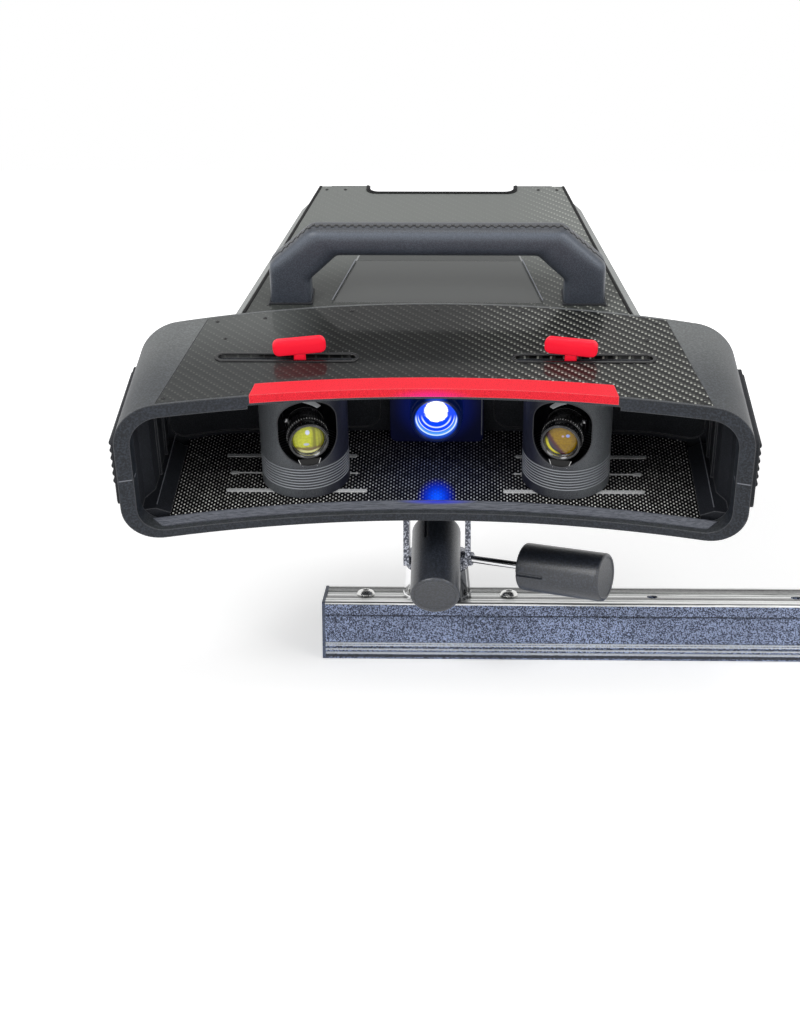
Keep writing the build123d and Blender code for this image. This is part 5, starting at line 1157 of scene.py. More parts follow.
@dataclass(frozen=True)
class AmberGlass(Finish):
    """Front element with an amber coating, a bright field with painted light and shade in it: darker bands, a brown
    foot, soft pale painted reflections and a bright low crescent.

    Args:
        axes: Axes of the lens; Z runs forwards.
        origin: A point on the optical axis.
        radius: Radius of the element.
        side: Which lens it is; the right one is painted darker.
    """

    axes: Array
    origin: Array
    radius: float
    side: Side

    def paint(self, recipe: Recipe) -> None:
        """Distances from points in the lens's own plane pick the tints of the painted light and shade."""
        coords = recipe.local(self.axes, self.origin)
        across, up, _ = coords.stretched(*(1 / self.radius,) * 3).xyz()

        def spot(x: float, y: float, wide: float, high: float, inner: float, outer: float) -> Wire:
            """1 inside an oval about (x, y), falling to 0 between its inner and outer size."""
            return distance((across - x) / wide, (up - y) / high).ramp(inner, outer, 1.0, 0.0)

        mottle = coords.noise(1.6 * MM, 3.0, 0.7)
        field_share = mottle.ramp(0.4, 0.6)
        # Painted light and shade in the glass: darker bands and zones, a brown foot and a bright crescent low down.
        if self.side is Side.RIGHT:
            slope = across * 0.80 + up * 0.60 + mottle * 0.12
            crescent = slope.ramp(-0.45, -0.75) * (1.0 - spot(0.10, 0.06, 1.0, 1.0, 0.84, 0.92))
            colour = layered(
                field_share.mix((0.25, 0.145, 0.003), (0.32, 0.19, 0.005)),
                (slope.ramp(-0.10, -0.32), (0.085, 0.022, 0.030)), (slope.ramp(-0.34, -0.50), (0.040, 0.032, 0.050)),
                (crescent, (0.95, 0.86, 0.10)))
            pale = ((0.42, 0.46, 0.15, 0.12, (0.30, 0.40, 0.85)), (0.12, 0.42, 0.10, 0.08, (0.55, 0.38, 0.42)))
        else:
            bands = coords.stretched(1.0, 0.12, 0.0).noise(2.6 * MM, 1.0, 0.4)
            crescent = up.ramp(-0.50, -0.80) * (1.0 - spot(0.04, 0.20, 1.0, 1.0, 0.90, 1.0))
            colour = layered(
                field_share.mix((0.50, 0.54, 0.030), (0.62, 0.64, 0.045)),
                (across.ramp(0.02, 0.35) * bands.ramp(0.35, 0.62, 0.35, 0.9), (0.20, 0.19, 0.020)),
                ((up + mottle * 0.25).ramp(-0.22, -0.42, 0.0, 0.85), (0.16, 0.095, 0.050)),
                (crescent, (0.95, 0.93, 0.42)))
            pale = ((-0.06, 0.58, 0.17, 0.19, (0.72, 0.78, 1.0)), (-0.16, -0.22, 0.22, 0.12, (0.50, 0.55, 0.70)))
        # Soft pale spots: painted reflections.
        colour = layered(colour, *((spot(*oval_spot, 0.55, 1.0), tint) for *oval_spot, tint in pale))
        recipe.set(Base_Color=spot(0, 0, 1, 1, 0.93, 1.0).mix((0.015, 0.012, 0.008), colour), Roughness=0.2,
                   Specular_IOR_Level=0.3, Coat_Weight=0.25, Coat_Roughness=0.03)


@dataclass(frozen=True)
class LampGlass(Finish):
    """Projector lens that is lit from behind: a white core in a blue field with fine rings.

    Args:
        centre: Middle of the lens in the level frame.
        radius: Radius of the glass.
    """

    centre: Triple = LAMP
    radius: float = LAMP_RADIUS

    def paint(self, recipe: Recipe) -> None:
        """Distance from the core picks white or blue, and from the axis the rings."""
        coords = recipe.coords()
        across, _, up = coords.xyz()
        up = up - self.centre[2]

        def far(lift: float) -> Wire:
            """Distance in radii from a point above the middle."""
            return distance(across, up - lift) / self.radius

        ragged = coords.noise(2.6 * MM, 3.0, 0.7)
        core = (far(6.6 * MM) + ragged.scaled(0.22, -0.11)).ramp(0.47, 0.60, 1.0, 0.0)
        lower = up.ramp(4.0 * MM, -2.0 * MM)
        wide, middle, narrow = (
            abs(far(lift) - size).ramp(half * 0.4, half * 1.6, 1.0, 0.0)
            for lift, size, half in ((4.0 * MM, 0.70, 0.035), (2.6 * MM, 0.86, 0.022), (0.6 * MM, 0.965, 0.03)))
        foot = far(3.0 * MM).ramp(0.82, 1.05) * lower
        glow = layered(foot.mix((0.0, 0.060, 1.0), (0.10, 0.38, 1.0)),
                       (wide.larger(middle).larger(narrow) * lower, (0.80, 0.90, 1.0)), (core, (1.0, 1.0, 1.0)))
        recipe.set(Base_Color=(0.01, 0.02, 0.12), Roughness=0.06, Emission_Color=glow,
                   Emission_Strength=core.scaled(2.2, 1.0), Coat_Weight=0.12, Specular_IOR_Level=0.15)


@dataclass(frozen=True)
class LitBezel(Finish):
    """Dark ring about the projector's glass, with a painted blue glow from emission near the glass and above the lens.

    Args:
        centre: A point on the optical axis in the level frame.
        glass: Radius of the glass.
    """

    centre: Triple = LAMP
    glass: float = LAMP_RADIUS

    def paint(self, recipe: Recipe) -> None:
        """Distance from the axis carries a painted glow from the mouth out into the dark; a second painted glow lies
        above the lens.
        """
        glow = recipe.radius(self.centre).ramp(self.glass - 0.2 * MM, self.glass + 1.3 * MM, 1.0, 0.06)
        fine = recipe.coords().noise(0.6 * MM, 3.0, 0.7)
        # Painted blue glow above the lens.
        crown = recipe.wash((0.0, 73.0 * MM, self.centre[2] + 23 * MM), (17 * MM, 26 * MM, 9 * MM))
        recipe.set(Base_Color=fine.mix((0.004, 0.006, 0.02), (0.010, 0.014, 0.045)), Roughness=0.3,
                   Emission_Color=(0.0, 0.08, 0.85), Emission_Strength=(glow * 0.6).larger(crown * 1.4),
                   Specular_IOR_Level=0.12, Normal=recipe.softened(0.3 * MM))


@dataclass(frozen=True)
class LitHousing(Finish):
    """Navy moulding about the projector, with painted blue light from emission close to the lens and above it.

    Args:
        centre: A point on the optical axis in the level frame.
        reach: How far the wash reaches.
    """

    centre: Triple = LAMP
    reach: float = 36.0 * MM

    def paint(self, recipe: Recipe) -> None:
        """Grain under painted blue light from emission that fades with the distance from the axis, and a painted glow
        above the lens.
        """
        wash = recipe.radius(self.centre).ramp(17.0 * MM, self.reach, 1.0, 0.0)
        grain = recipe.coords().noise(0.6 * MM, 3.0, 0.6)
        # Painted blue glow above the lens.
        crown = recipe.wash((0.0, 92.0 * MM, self.centre[2] + 27 * MM), (24 * MM, 30 * MM, 13 * MM))
        recipe.set(Base_Color=grain.mix((0.0045, 0.0055, 0.018), (0.011, 0.013, 0.036)), Roughness=0.5,
                   Specular_IOR_Level=0.12, Emission_Color=(0.001, 0.008, 0.15),
                   Emission_Strength=wash.scaled(0.42, 0.04) + crown * 4.0,
                   Normal=recipe.relief(grain, 0.03 * MM, 0.6 * MM))


@dataclass(frozen=True)
class BrushedPaint(Finish):
    """Blue-grey paint of the front ledge with fine lines along X, a painted highlight on its edges and painted blue
    light of the projector near the middle.

    Args:
        low: Colour between the lines.
        high: Colour on them.
        centre: Where the projector's light falls on the rear edge, in the level frame.
        front: Where it falls on the front edge.
    """

    low: Colour = (0.035, 0.040, 0.052)
    high: Colour = (0.16, 0.17, 0.20)
    centre: Triple = (1.5 * MM, 8.3 * MM, 11.5 * MM)
    front: Triple = (1.7 * MM, -1.6 * MM, 10.0 * MM)

    def paint(self, recipe: Recipe) -> None:
        """Noise drawn out along X, a painted highlight on the edges, and a line of painted blue light along each edge.
        """
        coords = recipe.coords()
        lines = coords.stretched(0.06, 1.0, 1.0).noise(0.7 * MM, 3.0, 0.7)
        share = lines.ramp(0.35, 0.65) * 0.6 + coords.noise(0.5 * MM, 2.0, 0.6) * 0.4
        # Painted blue light of the projector along the rear and the front edge, in colour and in emission.
        wash = recipe.wash(self.centre, (32 * MM, 2.0 * MM, 5 * MM)) + recipe.wash(
            self.front, (28 * MM, 1.8 * MM, 5 * MM))
        # Painted highlight on the edges.
        colour = layered(share.mix(self.low, self.high), (recipe.edges(0.5 * MM) * 0.5, (0.35, 0.37, 0.42)),
                         (wash * 0.8, (0.0, 0.006, 0.10)))
        recipe.set(Base_Color=colour, Roughness=0.42, Specular_IOR_Level=0.3,
                   Normal=recipe.relief(lines, 0.03 * MM, 0.4 * MM), Emission_Color=(0.0, 0.01, 0.5),
                   Emission_Strength=wash)


@dataclass(frozen=True)
class FrontRing(Finish):
    """Polished black ring before a lens, with a painted highlight where its bevel looks up and on its edges.

    Args:
        dark: Colour of the black faces.
        bright: Colour of the painted highlight on the polished faces.
    """

    dark: Colour = (0.012, 0.012, 0.014)
    bright: Colour = (0.75, 0.76, 0.76)

    def paint(self, recipe: Recipe) -> None:
        """Painted highlight: edges are bright all round, and the bevel as far as its normal points up."""
        lit = recipe.facing_up().ramp(0.62, 0.85) * 0.9
        share = lit.larger(recipe.edges(0.16 * MM, 0.02, 0.2) * 0.5)
        fine = recipe.coords(Space.SHARED).noise(0.4 * MM, 3.0, 0.6)
        recipe.set(Base_Color=share.mix(self.dark, self.bright), Metallic=share, Coat_Weight=0.5,
                   Roughness=fine.scaled(0.12, 0.12), Normal=recipe.softened(0.15 * MM))


@dataclass(frozen=True)
class PanHandleAxis:
    """Line of the pan handle, away from the pan axis.

    Args:
        height: Its height in millimetres.
        turn: Its turn in degrees.
    """

    height: float = 80.5
    turn: float = -26.0

    @property
    def axes(self) -> Array:
        """Axes whose Z runs along the handle and whose Y is up."""
        out = (math.cos(math.radians(self.turn)), math.sin(math.radians(self.turn)), 0.0)
        return np.array([[-out[1], out[0], 0], [0, 0, 1], out])

    @property
    def origin(self) -> Array:
        """Where the line meets the pan axis."""
        return np.array([0.0, 0.0, self.height])


class Finishes:
    """All the materials of the part, by a maker's name."""

    def __init__(self) -> None:
        """Makes each material once."""
        # Painted reflection on faces that look up, and a painted highlight on the edges.
        self.shell = Moulded((0.0075, 0.0090, 0.0120), 0.44, 1.5 * MM, 0.10 * MM, 0.9 * MM, sparkle=4.0,
                             specular=0.30, worn=0.8, painted_reflection=0.42).make("shell_grain")
        # Painted reflection from the sides to the top, and a painted highlight on the edges.
        self.rear_shell = Moulded((0.0120, 0.0135, 0.0170), 0.44, 0.8 * MM, 0.06 * MM, 0.8 * MM, sparkle=1.6,
                                  specular=0.30, worn=0.5, painted_reflection=1.0, painted_reflection_from=-0.5).make("rear_shell_grain")
        self.cap = Moulded((0.070, 0.085, 0.125), 0.5, 0.9 * MM, 0.05 * MM, sparkle=1.6).make("end_cap_grain")
        # Painted glow from emission on the pale blade.
        self.blade = Gloss((0.62, 0.64, 0.66), 0.35, 0.2, lit=0.22).make("blade_pale")
        self.inner = Moulded((0.0120, 0.0132, 0.0165), 0.5, 0.9 * MM, 0.09 * MM, 0.8 * MM, sparkle=1.6, specular=0.2,
                             worn=0.8).make("inner_moulding")
        self.rim_inlay = BrushedPaint().make("ledge_paint")
        self.twill = Twill().make("twill_laminate")
        # Painted reflection over the whole rear panel, paler towards the rear; painted glints fuller towards the right.
        self.rear_twill = Twill(near=(0.050, 0.054, 0.051), far=(0.165, 0.175, 0.166), run=(130 * MM, 300 * MM),
                                spread=(0.5, 1.0), lively=(55 * MM, 125 * MM), faint=0.07,
                                inlay=(205 * MM, 240 * MM)).make("rear_twill_laminate")
        # Painted highlight on the edges.
        self.cover = Gloss(COVER, 0.48, 0.5, specular=0.1, worn=0.6).make("cover_satin")
        self.trim = TrimPaint().make("trim_red")
        # Painted highlight on the edges and a faint painted glow from emission.
        self.knob = Gloss((0.95, 0.010, 0.034), 0.42, 0.1, 0.5 * MM, 0.2, 0.45, 0.24).make("knob_red")
        self.black_gloss = Gloss((0.004, 0.004, 0.005), 0.25, 0.15).make("liner_gloss")
        self.turret = TurretPaint().make("turret_paint")
        self.enamel = Hammered((0.006, 0.0065, 0.008), (0.030, 0.032, 0.040), 0.8 * MM, 0.04 * MM, 0.42).make(
            "black_enamel")
        self.chrome = Metal((0.80, 0.80, 0.81), 0.15).make("head_chrome")
        self.base_chrome = ChromeWithPaintedReflections(np.eye(3), np.zeros(3), bands=1.6).make("base_chrome")
        rod = PanHandleAxis()
        self.rod_chrome = ChromeWithPaintedReflections(rod.axes, rod.origin * MM, bands=1.3).make("rod_chrome")
        self.steel = Metal((0.62, 0.62, 0.62), 0.28).make("screw_steel")
        self.alloy = Metal((0.55, 0.56, 0.57), 0.35).make("milled_alloy")
        self.rail = RailFinish().make("rail_metal")
        self.grip = Moulded((0.0070, 0.0085, 0.0120), 0.40, 1.4 * MM, 0.26 * MM, space=Space.SHARED, sparkle=5.0,
                            specular=0.6, coat=0.45).make("grip_pebble")
        self.rubber = Moulded((0.011, 0.012, 0.015), 0.6, 0.5 * MM, 0.04 * MM, 0.8 * MM, worn=0.5).make("pad_rubber")
        # Painted highlights on the edges of the lens parts.
        self.lens_body = Gloss((0.006, 0.006, 0.007), 0.22, 0.3, 0.25 * MM, worn=0.5).make("lens_anodised")
        self.lens_ring = Gloss((0.007, 0.007, 0.008), 0.3, 0.2, 0.12 * MM, worn=0.3).make("ring_anodised")
        self.bright_ring = FrontRing().make("front_ring")
        self.lit_bezel = LitBezel().make("lit_bezel")
        self.housing = LitHousing().make("navy_housing")
        self.turret_edge = Gloss((0.05, 0.052, 0.058), 0.4, 0.1, 0.1 * MM).make("turret_edge")
        self.yoke = Hammered((0.006, 0.009, 0.024), (0.66, 0.69, 0.78), 1.5 * MM, 0.12 * MM, 0.3, 0.6, worn=0.2).make(
            "hammered_silver")
        self.button_steel = Metal((0.86, 0.86, 0.84), 0.2).make("button_steel")
        self.socket_dark = Gloss((0.004, 0.004, 0.004), 0.5, 0.0).make("socket_dark")
        self.small_screw = Gloss((0.010, 0.010, 0.011), 0.4, 0.1, 0.2 * MM, 0.3, 0.2).make("small_screw")
        self.thread = Gloss((0.006, 0.006, 0.007), 0.35, 0.2, 0.1 * MM, 0.5, 0.1).make("black_thread")
        self.seam = Moulded((0.006, 0.0065, 0.009), 0.5, 0.4 * MM, 0.04 * MM, 0.1 * MM).make("leather_seam")
        self.faint_mark = Gloss((0.10, 0.10, 0.10), 0.5, 0.0, 0.05 * MM).make("faint_mark")
        self.light_edge = Gloss((0.20, 0.21, 0.24), 0.4, 0.1, 0.05 * MM).make("light_edge")
        self.gasket = Gloss((0.0035, 0.0035, 0.004), 0.5, 0.0, specular=0.15).make("gasket_rubber")
        self.lamp_glass = LampGlass().make("lamp_glass")
        self.floor = Perforated().make("perforated_sheet")
        self.guide = Moulded((0.38, 0.39, 0.41), 0.45, 0.5 * MM, 0.02 * MM).make("guide_grey")
        self.leather = Leather().make("handle_leather")
        self.board = Gloss((0.01, 0.09, 0.04), 0.4, 0.3).make("solder_mask")
        # Painted glow from emission on the white marks.
        self.mark = Gloss((0.62, 0.62, 0.62), 0.5, 0.0, 0.05 * MM, lit=0.35).make("white_mark")


SOLID_FINISHES: dict[str, tuple[str, ...]] = {
    "rail": ("rail_profile",),
    "cap": ("rail_end_caps",),
    "inner": ("roll_knob", "bulkhead", "side_liners", "bottom_cover",
              "fan_frame", "fan_rotor", "rear_sockets"),
    "steel": ("rail_screws", "head_bolt", "mount_screws"),
    "chrome": ("head_base", "tilt_pin", "tilt_handle_rod", "roll_pin"),
    "rod_chrome": ("pan_handle_rod",),
    "yoke": ("pan_yoke",),
    "housing": ("projector_housing",),
    "grip": ("pan_handle_grip", "tilt_handle_grip"),
    "enamel": ("tilt_block", "roll_plate", "mount_plate", "left_camera_block", "right_camera_block"),
    "shell": ("lower_shell", "upper_shell"),
    "rear_shell": ("rear_shell",),
    "twill": ("top_panel",),
    "rear_twill": ("rear_panel",),
    "trim": ("trim_strip",),
    "black_gloss": ("slot_liners", "power_switch"),
    "floor": ("floor_plate",),
    "guide": ("guide_bars",),
    "rim_inlay": ("front_ledge",),
    "lens_body": ("projector_lens_barrel", "left_lens_barrel", "right_lens_barrel", "left_focus_ring",
                  "right_focus_ring", "left_iris_ring", "right_iris_ring"),
    "lamp_glass": ("projector_glass", "left_lens_glass", "right_lens_glass"),
    "alloy": ("light_engine", "heatsink"),
    "rubber": ("side_pad_right", "side_pad_left", "handle_pads"),
    "gasket": ("bay_edging",),
    "cover": ("centre_cover",),
    "leather": ("carry_handle",),
    "board": ("main_board",),
    "turret": ("left_turret", "right_turret"),
    "knob": ("left_slide_knob", "right_slide_knob"),
}


def dress_solids(finishes: Finishes) -> None:
    """Gives every solid its finish."""
    for finish, nodes in SOLID_FINISHES.items():
        for node in nodes:
            solid = frame["nodes"][node]
            solid.data.materials.clear()
            solid.data.materials.append(getattr(finishes, finish))


# ---------------- camera turrets
@dataclass(frozen=True)
class TurretFrame:
    """Frame of one turret: X across, Y to its rear, Z up its axis, toed in towards the middle.

    Args:
        side: Which turret it is.
        offset: Distance of its axis from the middle plane.
        back: Y of its axis.
        toe_in: Turn towards the middle in degrees.
        lens_height: Height of the optical axis.
    """

    side: Side
    offset: float = 96.5
    back: float = 42.0
    toe_in: float = 11.5
    lens_height: float = 60.6

    def put(self, surface: Surface) -> Surface:
        """Carries a surface out of the left turret's frame, mirrored for the right one."""
        axes = spun(np.array([math.radians(self.toe_in)]))[0]
        return TIPPED.put(surface.placed(axes, (-self.offset, self.back, 0)).mirrored(self.side.value))

    def put_on_lens(self, surface: Surface) -> Surface:
        """Carries a form whose Z runs forwards along the optical axis from the turret's axis."""
        return self.put(surface.placed(facing((0, -1, 0)), (0, 0, self.lens_height)))

    def lens_frame(self) -> tuple[Array, Array]:
        """Axes and origin of the optical axis in the shared frame."""
        turn = math.radians(self.toe_in)
        direction = (-self.side.value * math.sin(turn), -math.cos(turn), 0)
        place = np.array([self.side.value * self.offset, self.back, self.lens_height])
        return facing(direction) @ TIPPED.axes, place @ TIPPED.axes + TIPPED.origin


@dataclass
class Lens:
    """Camera lens: a turned tube, two knurled rings, a bright front ring and a domed front element.

    Args:
        frame: The turret it sits in.
        reach: Distance of its front from the turret's axis.
        bezel: Radius of the tube's front and rear collars.
        tube: Radius of the tube under the rings.
        focus: Radius of the focus ring.
        iris: Radius of the iris ring.
        glass: Radius of the front element.
        dome: Height of its dome.
        gap: Play between the rings.
    """

    frame: TurretFrame
    reach: float = 33.0
    bezel: float = 14.5
    tube: float = 12.4
    focus: float = 15.2
    iris: float = 14.2
    glass: float = 11.7
    dome: float = 2.4
    gap: float = 0.3

    @property
    def focus_front(self) -> float:
        """Where the focus ring starts, behind the bezel."""
        return self.reach - 7 - self.gap

    @property
    def iris_front(self) -> float:
        """Where the iris ring starts, behind the focus ring."""
        return self.focus_front - 10.5 - self.gap

    def tube_form(self) -> Surface:
        """Collar, bare tube and bezel, then the seat of the front ring and a stepped cup for the glass."""
        front, seat = self.reach, self.reach - 2.0
        steps = np.arange(4)[:, None] * (0, -0.45) + (self.glass + 0.25, seat - 0.3)
        inner = steps - (0.22, 0.22)
        thread = np.stack([steps, inner], 1).reshape(-1, 2)
        outside = rounded_profile([
            (self.bezel, -8, 0), (self.bezel, 7.6, 0.3), (self.tube, 7.6, 0),
            (self.tube, front - 7, 0), (self.bezel, front - 7, 0.4),
            (self.bezel, front - 0.7, 0.5), (13.8, front - 0.5, 0), (13.8, seat, 0),
            (self.glass + 0.3, seat, 0)])
        cup = np.array([(self.glass, seat - 2.2), (self.glass, front - 6.5)])
        return turned_form(np.vstack([outside, thread, cup]), 112)

    def front_ring(self) -> Surface:
        """Ring with a rounded outer shoulder and a conical inner face."""
        front = self.reach
        return turned_ring(rounded_profile([
            (13.0, front - 1.95, 0), (13.7, front - 1.95, 0), (13.7, front, 0.5),
            (12.9, front, 0.2), (11.95, front - 1.1, 0.2),
            (11.9, front - 1.95, 0.1), (12.8, front - 1.95, 0)]), 112)

    def knurled(self, radius: float, front: float, length: float, ribs: int) -> Surface:
        """Ring on the tube: ribs of height h cos^2 on the middle band between two plain bands.

        Args:
            radius: Radius of its ribs.
            front: Where its front face lies.
            length: Its length.
            ribs: Number of ribs.

        Returns:
            The ring.
        """
        back = front - length
        low, high = back + 0.9, front - 0.3 * length
        bands = [
            (self.tube + 0.05, back, 0), (radius - 0.7, back, 0), (radius - 0.35, back + 0.35, 0),
            (radius - 0.35, low, 0), (radius - 0.35, low + 0.3, 1), (radius - 0.35, high, 1),
            (radius - 0.35, high + 0.3, 0), (radius - 0.55, high + 0.5, 0),
            (radius - 0.2, high + 0.8, 0), (radius - 0.2, front - 0.4, 0),
            (radius - 0.6, front, 0), (self.tube + 0.05, front, 0)]
        rows = np.array(bands)
        segments = ribs * 5
        turn = np.arange(segments) / segments * ribs * math.pi
        swell = rows[:, 2:] * 0.35 * np.cos(turn) ** 2
        return turned_ring(rows[:, :2], segments, swell)

    def scale(self, radius: float, middle: float, count: int) -> Surface:
        """Short raised lines round a ring, every third one longer."""
        angles = np.arange(count) / count * 2 * math.pi
        lying = np.array([[0, 1, 0], [0, 0, 1], [1, 0, 0]], float)
        marks = []
        for half, chosen in ((0.95, np.arange(count) % 3 == 0), (0.5, np.arange(count) % 3 > 0)):
            mark = Slab(0.16, half, 0.16, 0.1, 0.04, 2).surface().placed(lying, (radius, 0, middle))
            marks.append(copies(mark, spun(angles[chosen]), np.zeros((chosen.sum(), 3))))
        return joined(marks)

    def lock_screw(self) -> Surface:
        """Small slotless thumb screw that stands out of the iris ring."""
        angles = np.arange(60) / 60 * 2 * math.pi
        profile = rounded_profile([
            (0.9, 0, 0), (0.9, 1.2, 0), (1.7, 1.2, 0.1), (1.7, 3.4, 0.4),
            (0.4, 3.4, 0)])
        inside = (profile[:, 1] > 1.3) & (profile[:, 1] < 3.2)
        form = turned_form(profile, 60, inside[:, None] * 0.09 * np.cos(angles * 15))
        turn = math.radians(150)
        direction = (math.cos(turn), math.sin(turn), 0)
        radius = self.iris - 0.5
        return form.placed(facing(direction), (radius * direction[0], radius * direction[1], self.iris_front - 1.6))

    def front_element(self) -> Surface:
        """Low dome that starts a little behind the tube's front."""
        top = self.reach - 1.3
        return domed(self.glass - 0.05, top, self.dome, top - 3.9, 0.97, 12, 96)

    def build(self, finishes: Finishes) -> None:
        """Puts the lens together on its side."""
        word = self.frame.side.word
        put = self.frame.put_on_lens
        camera, focus, iris = (f"{word}_{name}" for name in ("camera", "focus", "iris"))
        Piece(f"{word}_lens_tube", put(self.tube_form()), finishes.lens_body, camera, "lens_black").instead_of(
            f"{word}_lens_barrel")
        Piece(f"{word}_lens_front_ring", put(self.front_ring()), finishes.bright_ring, camera, "lens_black")
        axes, origin = self.frame.lens_frame()
        glass = AmberGlass(axes, origin * MM, self.glass * MM, self.frame.side).make(f"{word}_amber_glass")
        Piece(f"{word}_front_element", put(self.front_element()), glass, camera, "lens_coated").instead_of(
            f"{word}_lens_glass")
        ring = self.knurled(self.focus, self.focus_front, 10.5, 48)
        Piece(f"{word}_focus_knurl", put(ring), finishes.lens_ring, focus, "ring_black").instead_of(
            f"{word}_focus_ring")
        marks = self.scale(self.focus - 0.18, self.focus_front - 1.3, 48)
        Piece(f"{word}_focus_scale", put(marks), finishes.mark, focus, "guide_grey")
        ring = self.knurled(self.iris, self.iris_front, 7.0, 60)
        Piece(f"{word}_iris_knurl", put(ring), finishes.lens_ring, iris, "ring_black").instead_of(
            f"{word}_iris_ring")
        Piece(f"{word}_iris_lock_screw", put(self.lock_screw()), finishes.steel, iris, "screw_steel")
        marks = self.scale(self.bezel, self.reach - 3.6, 30)
        Piece(f"{word}_bezel_scale", put(marks), finishes.faint_mark, camera, "guide_grey")


@dataclass
class TurretTrim:
    """Bead round a turret's window, and a small bracket at the window's foot.

    Args:
        frame: The turret it sits on.
        radius: The turret's radius.
        half: Half width of the window.
        low: Height of the window's foot.
        high: Height of its top.
    """

    frame: TurretFrame
    radius: float = 32.5
    half: float = 21.5
    low: float = 40.0
    high: float = 94.0

    def bead(self) -> Surface:
        """Oval bead along the outline (x, -sqrt(R^2 - x^2), z) of the window."""
        flat = rounded_rectangle(self.half, (self.high - self.low) / 2, self.half - 0.1, 20)
        depth = -np.sqrt(self.radius ** 2 - flat[:, 0] ** 2)
        path = np.column_stack([flat[:, 0], depth, flat[:, 1] + (self.low + self.high) / 2])
        lift = path * (1, 1, 0) / self.radius
        return swept(path, lift, oval(0.22, 0.45, 8))

    def bracket(self) -> Surface:
        """Dark tab at the window's foot, wider above than below."""
        tab = Slab(8.0, 2.9, 1.4, 1.2, 0.35).surface()
        share = 0.5 + tab.points[:, 1:2] / 5.8
        tab = Surface(tab.points * np.hstack([0.72 + 0.28 * share, np.ones((len(share), 2))]), tab.quads, tab.tris)
        return tab.placed(facing((0, -1, 0.25)), (0, -30.6, self.low + 2.3))

    def bracket_rim(self) -> Surface:
        """Bright bead along the tab's slanted sides and lower edge."""
        flat = np.array([(-8.1, 2.6), (-6.4, -1.6), (-5.2, -2.9), (0, -3.0), (5.2, -2.9), (6.4, -1.6), (8.1, 2.6)])
        steps = np.linspace(0, len(flat) - 1, 40)
        path = np.column_stack([np.interp(steps, np.arange(len(flat)), flat[:, axis]) for axis in (0, 1)])
        path = np.column_stack([path, np.full(len(path), 0.55)])
        line = swept(path, (0, 0, 1), oval(0.28, 0.28, 8), closed=False)
        return line.placed(facing((0, -1, 0.25)), (0, -30.6, self.low + 2.3))

    def blade(self) -> Surface:
        """Bent sheet that stands behind the lens, under the window's top."""
        turn = np.linspace(math.radians(62), math.radians(98), 14)
        path = np.column_stack([21.0 * np.cos(turn), np.linspace(-16, -7, 14), 21.0 * np.sin(turn)])
        lift = np.column_stack([np.cos(turn), np.zeros(14), np.sin(turn)])
        sheet = swept(path, lift, oval(0.35, 3.4, 12, 4.0), closed=False)
        return sheet.moved(0, 0, self.frame.lens_height)

    def build(self, finishes: Finishes) -> None:
        """Puts the trim on its turret."""
        word = self.frame.side.word
        put = self.frame.put
        Piece(f"{word}_window_bead", put(self.bead()), finishes.turret_edge, f"{word}_camera", "turret_paint")
        Piece(f"{word}_window_bracket", put(self.bracket()), finishes.socket_dark, f"{word}_camera", "lens_black")
        Piece(f"{word}_bracket_rim", put(self.bracket_rim()), finishes.steel, f"{word}_camera", "screw_steel")
        Piece(f"{word}_rear_blade", put(self.blade()), finishes.blade, f"{word}_camera", "camera_metal")


@dataclass
class SlideKnob:
    """T-shaped knob of a sliding turret, with rounded rims.

    Args:
        frame: The turret it stands on.
        hood_top: Height of the hood's top.
        lean: Backward lean of the head in degrees.
        head: Half width, half height and thickness of the head.
    """

    frame: TurretFrame
    hood_top: float = 110.0
    lean: float = 5.0
    head: Triple = (19.0, 6.0, 6.0)

    def form(self) -> Surface:
        """Head standing on its edge over a rounded stem that rises through the slot's middle."""
        y = (45.0 - self.frame.back) / math.cos(math.radians(self.frame.toe_in))
        head_low = self.hood_top + 3.5
        sin, cos = math.sin(math.radians(self.lean)), math.cos(math.radians(self.lean))
        axes = np.array([[1, 0, 0], [0, sin, cos], [0, -cos, sin]])
        head = Slab(*self.head, 4.5, 1.3, 9).surface()
        head = head.placed(axes, np.array([0, y, head_low]) + axes[1] * self.head[1])
        bottom, top = self.hood_top - 8.0, head_low + 1.0
        stem = Slab(4.25, 2.3, top - bottom, 1.5, 0.3).surface()
        return head + stem.moved(0, y, (bottom + top) / 2)

    def build(self, finishes: Finishes) -> None:
        """Puts the knob on its turret."""
        word = self.frame.side.word
        Piece(f"{word}_tee_knob", self.frame.put(self.form()), finishes.knob, f"{word}_camera",
              "knob_red").instead_of(f"{word}_slide_knob")


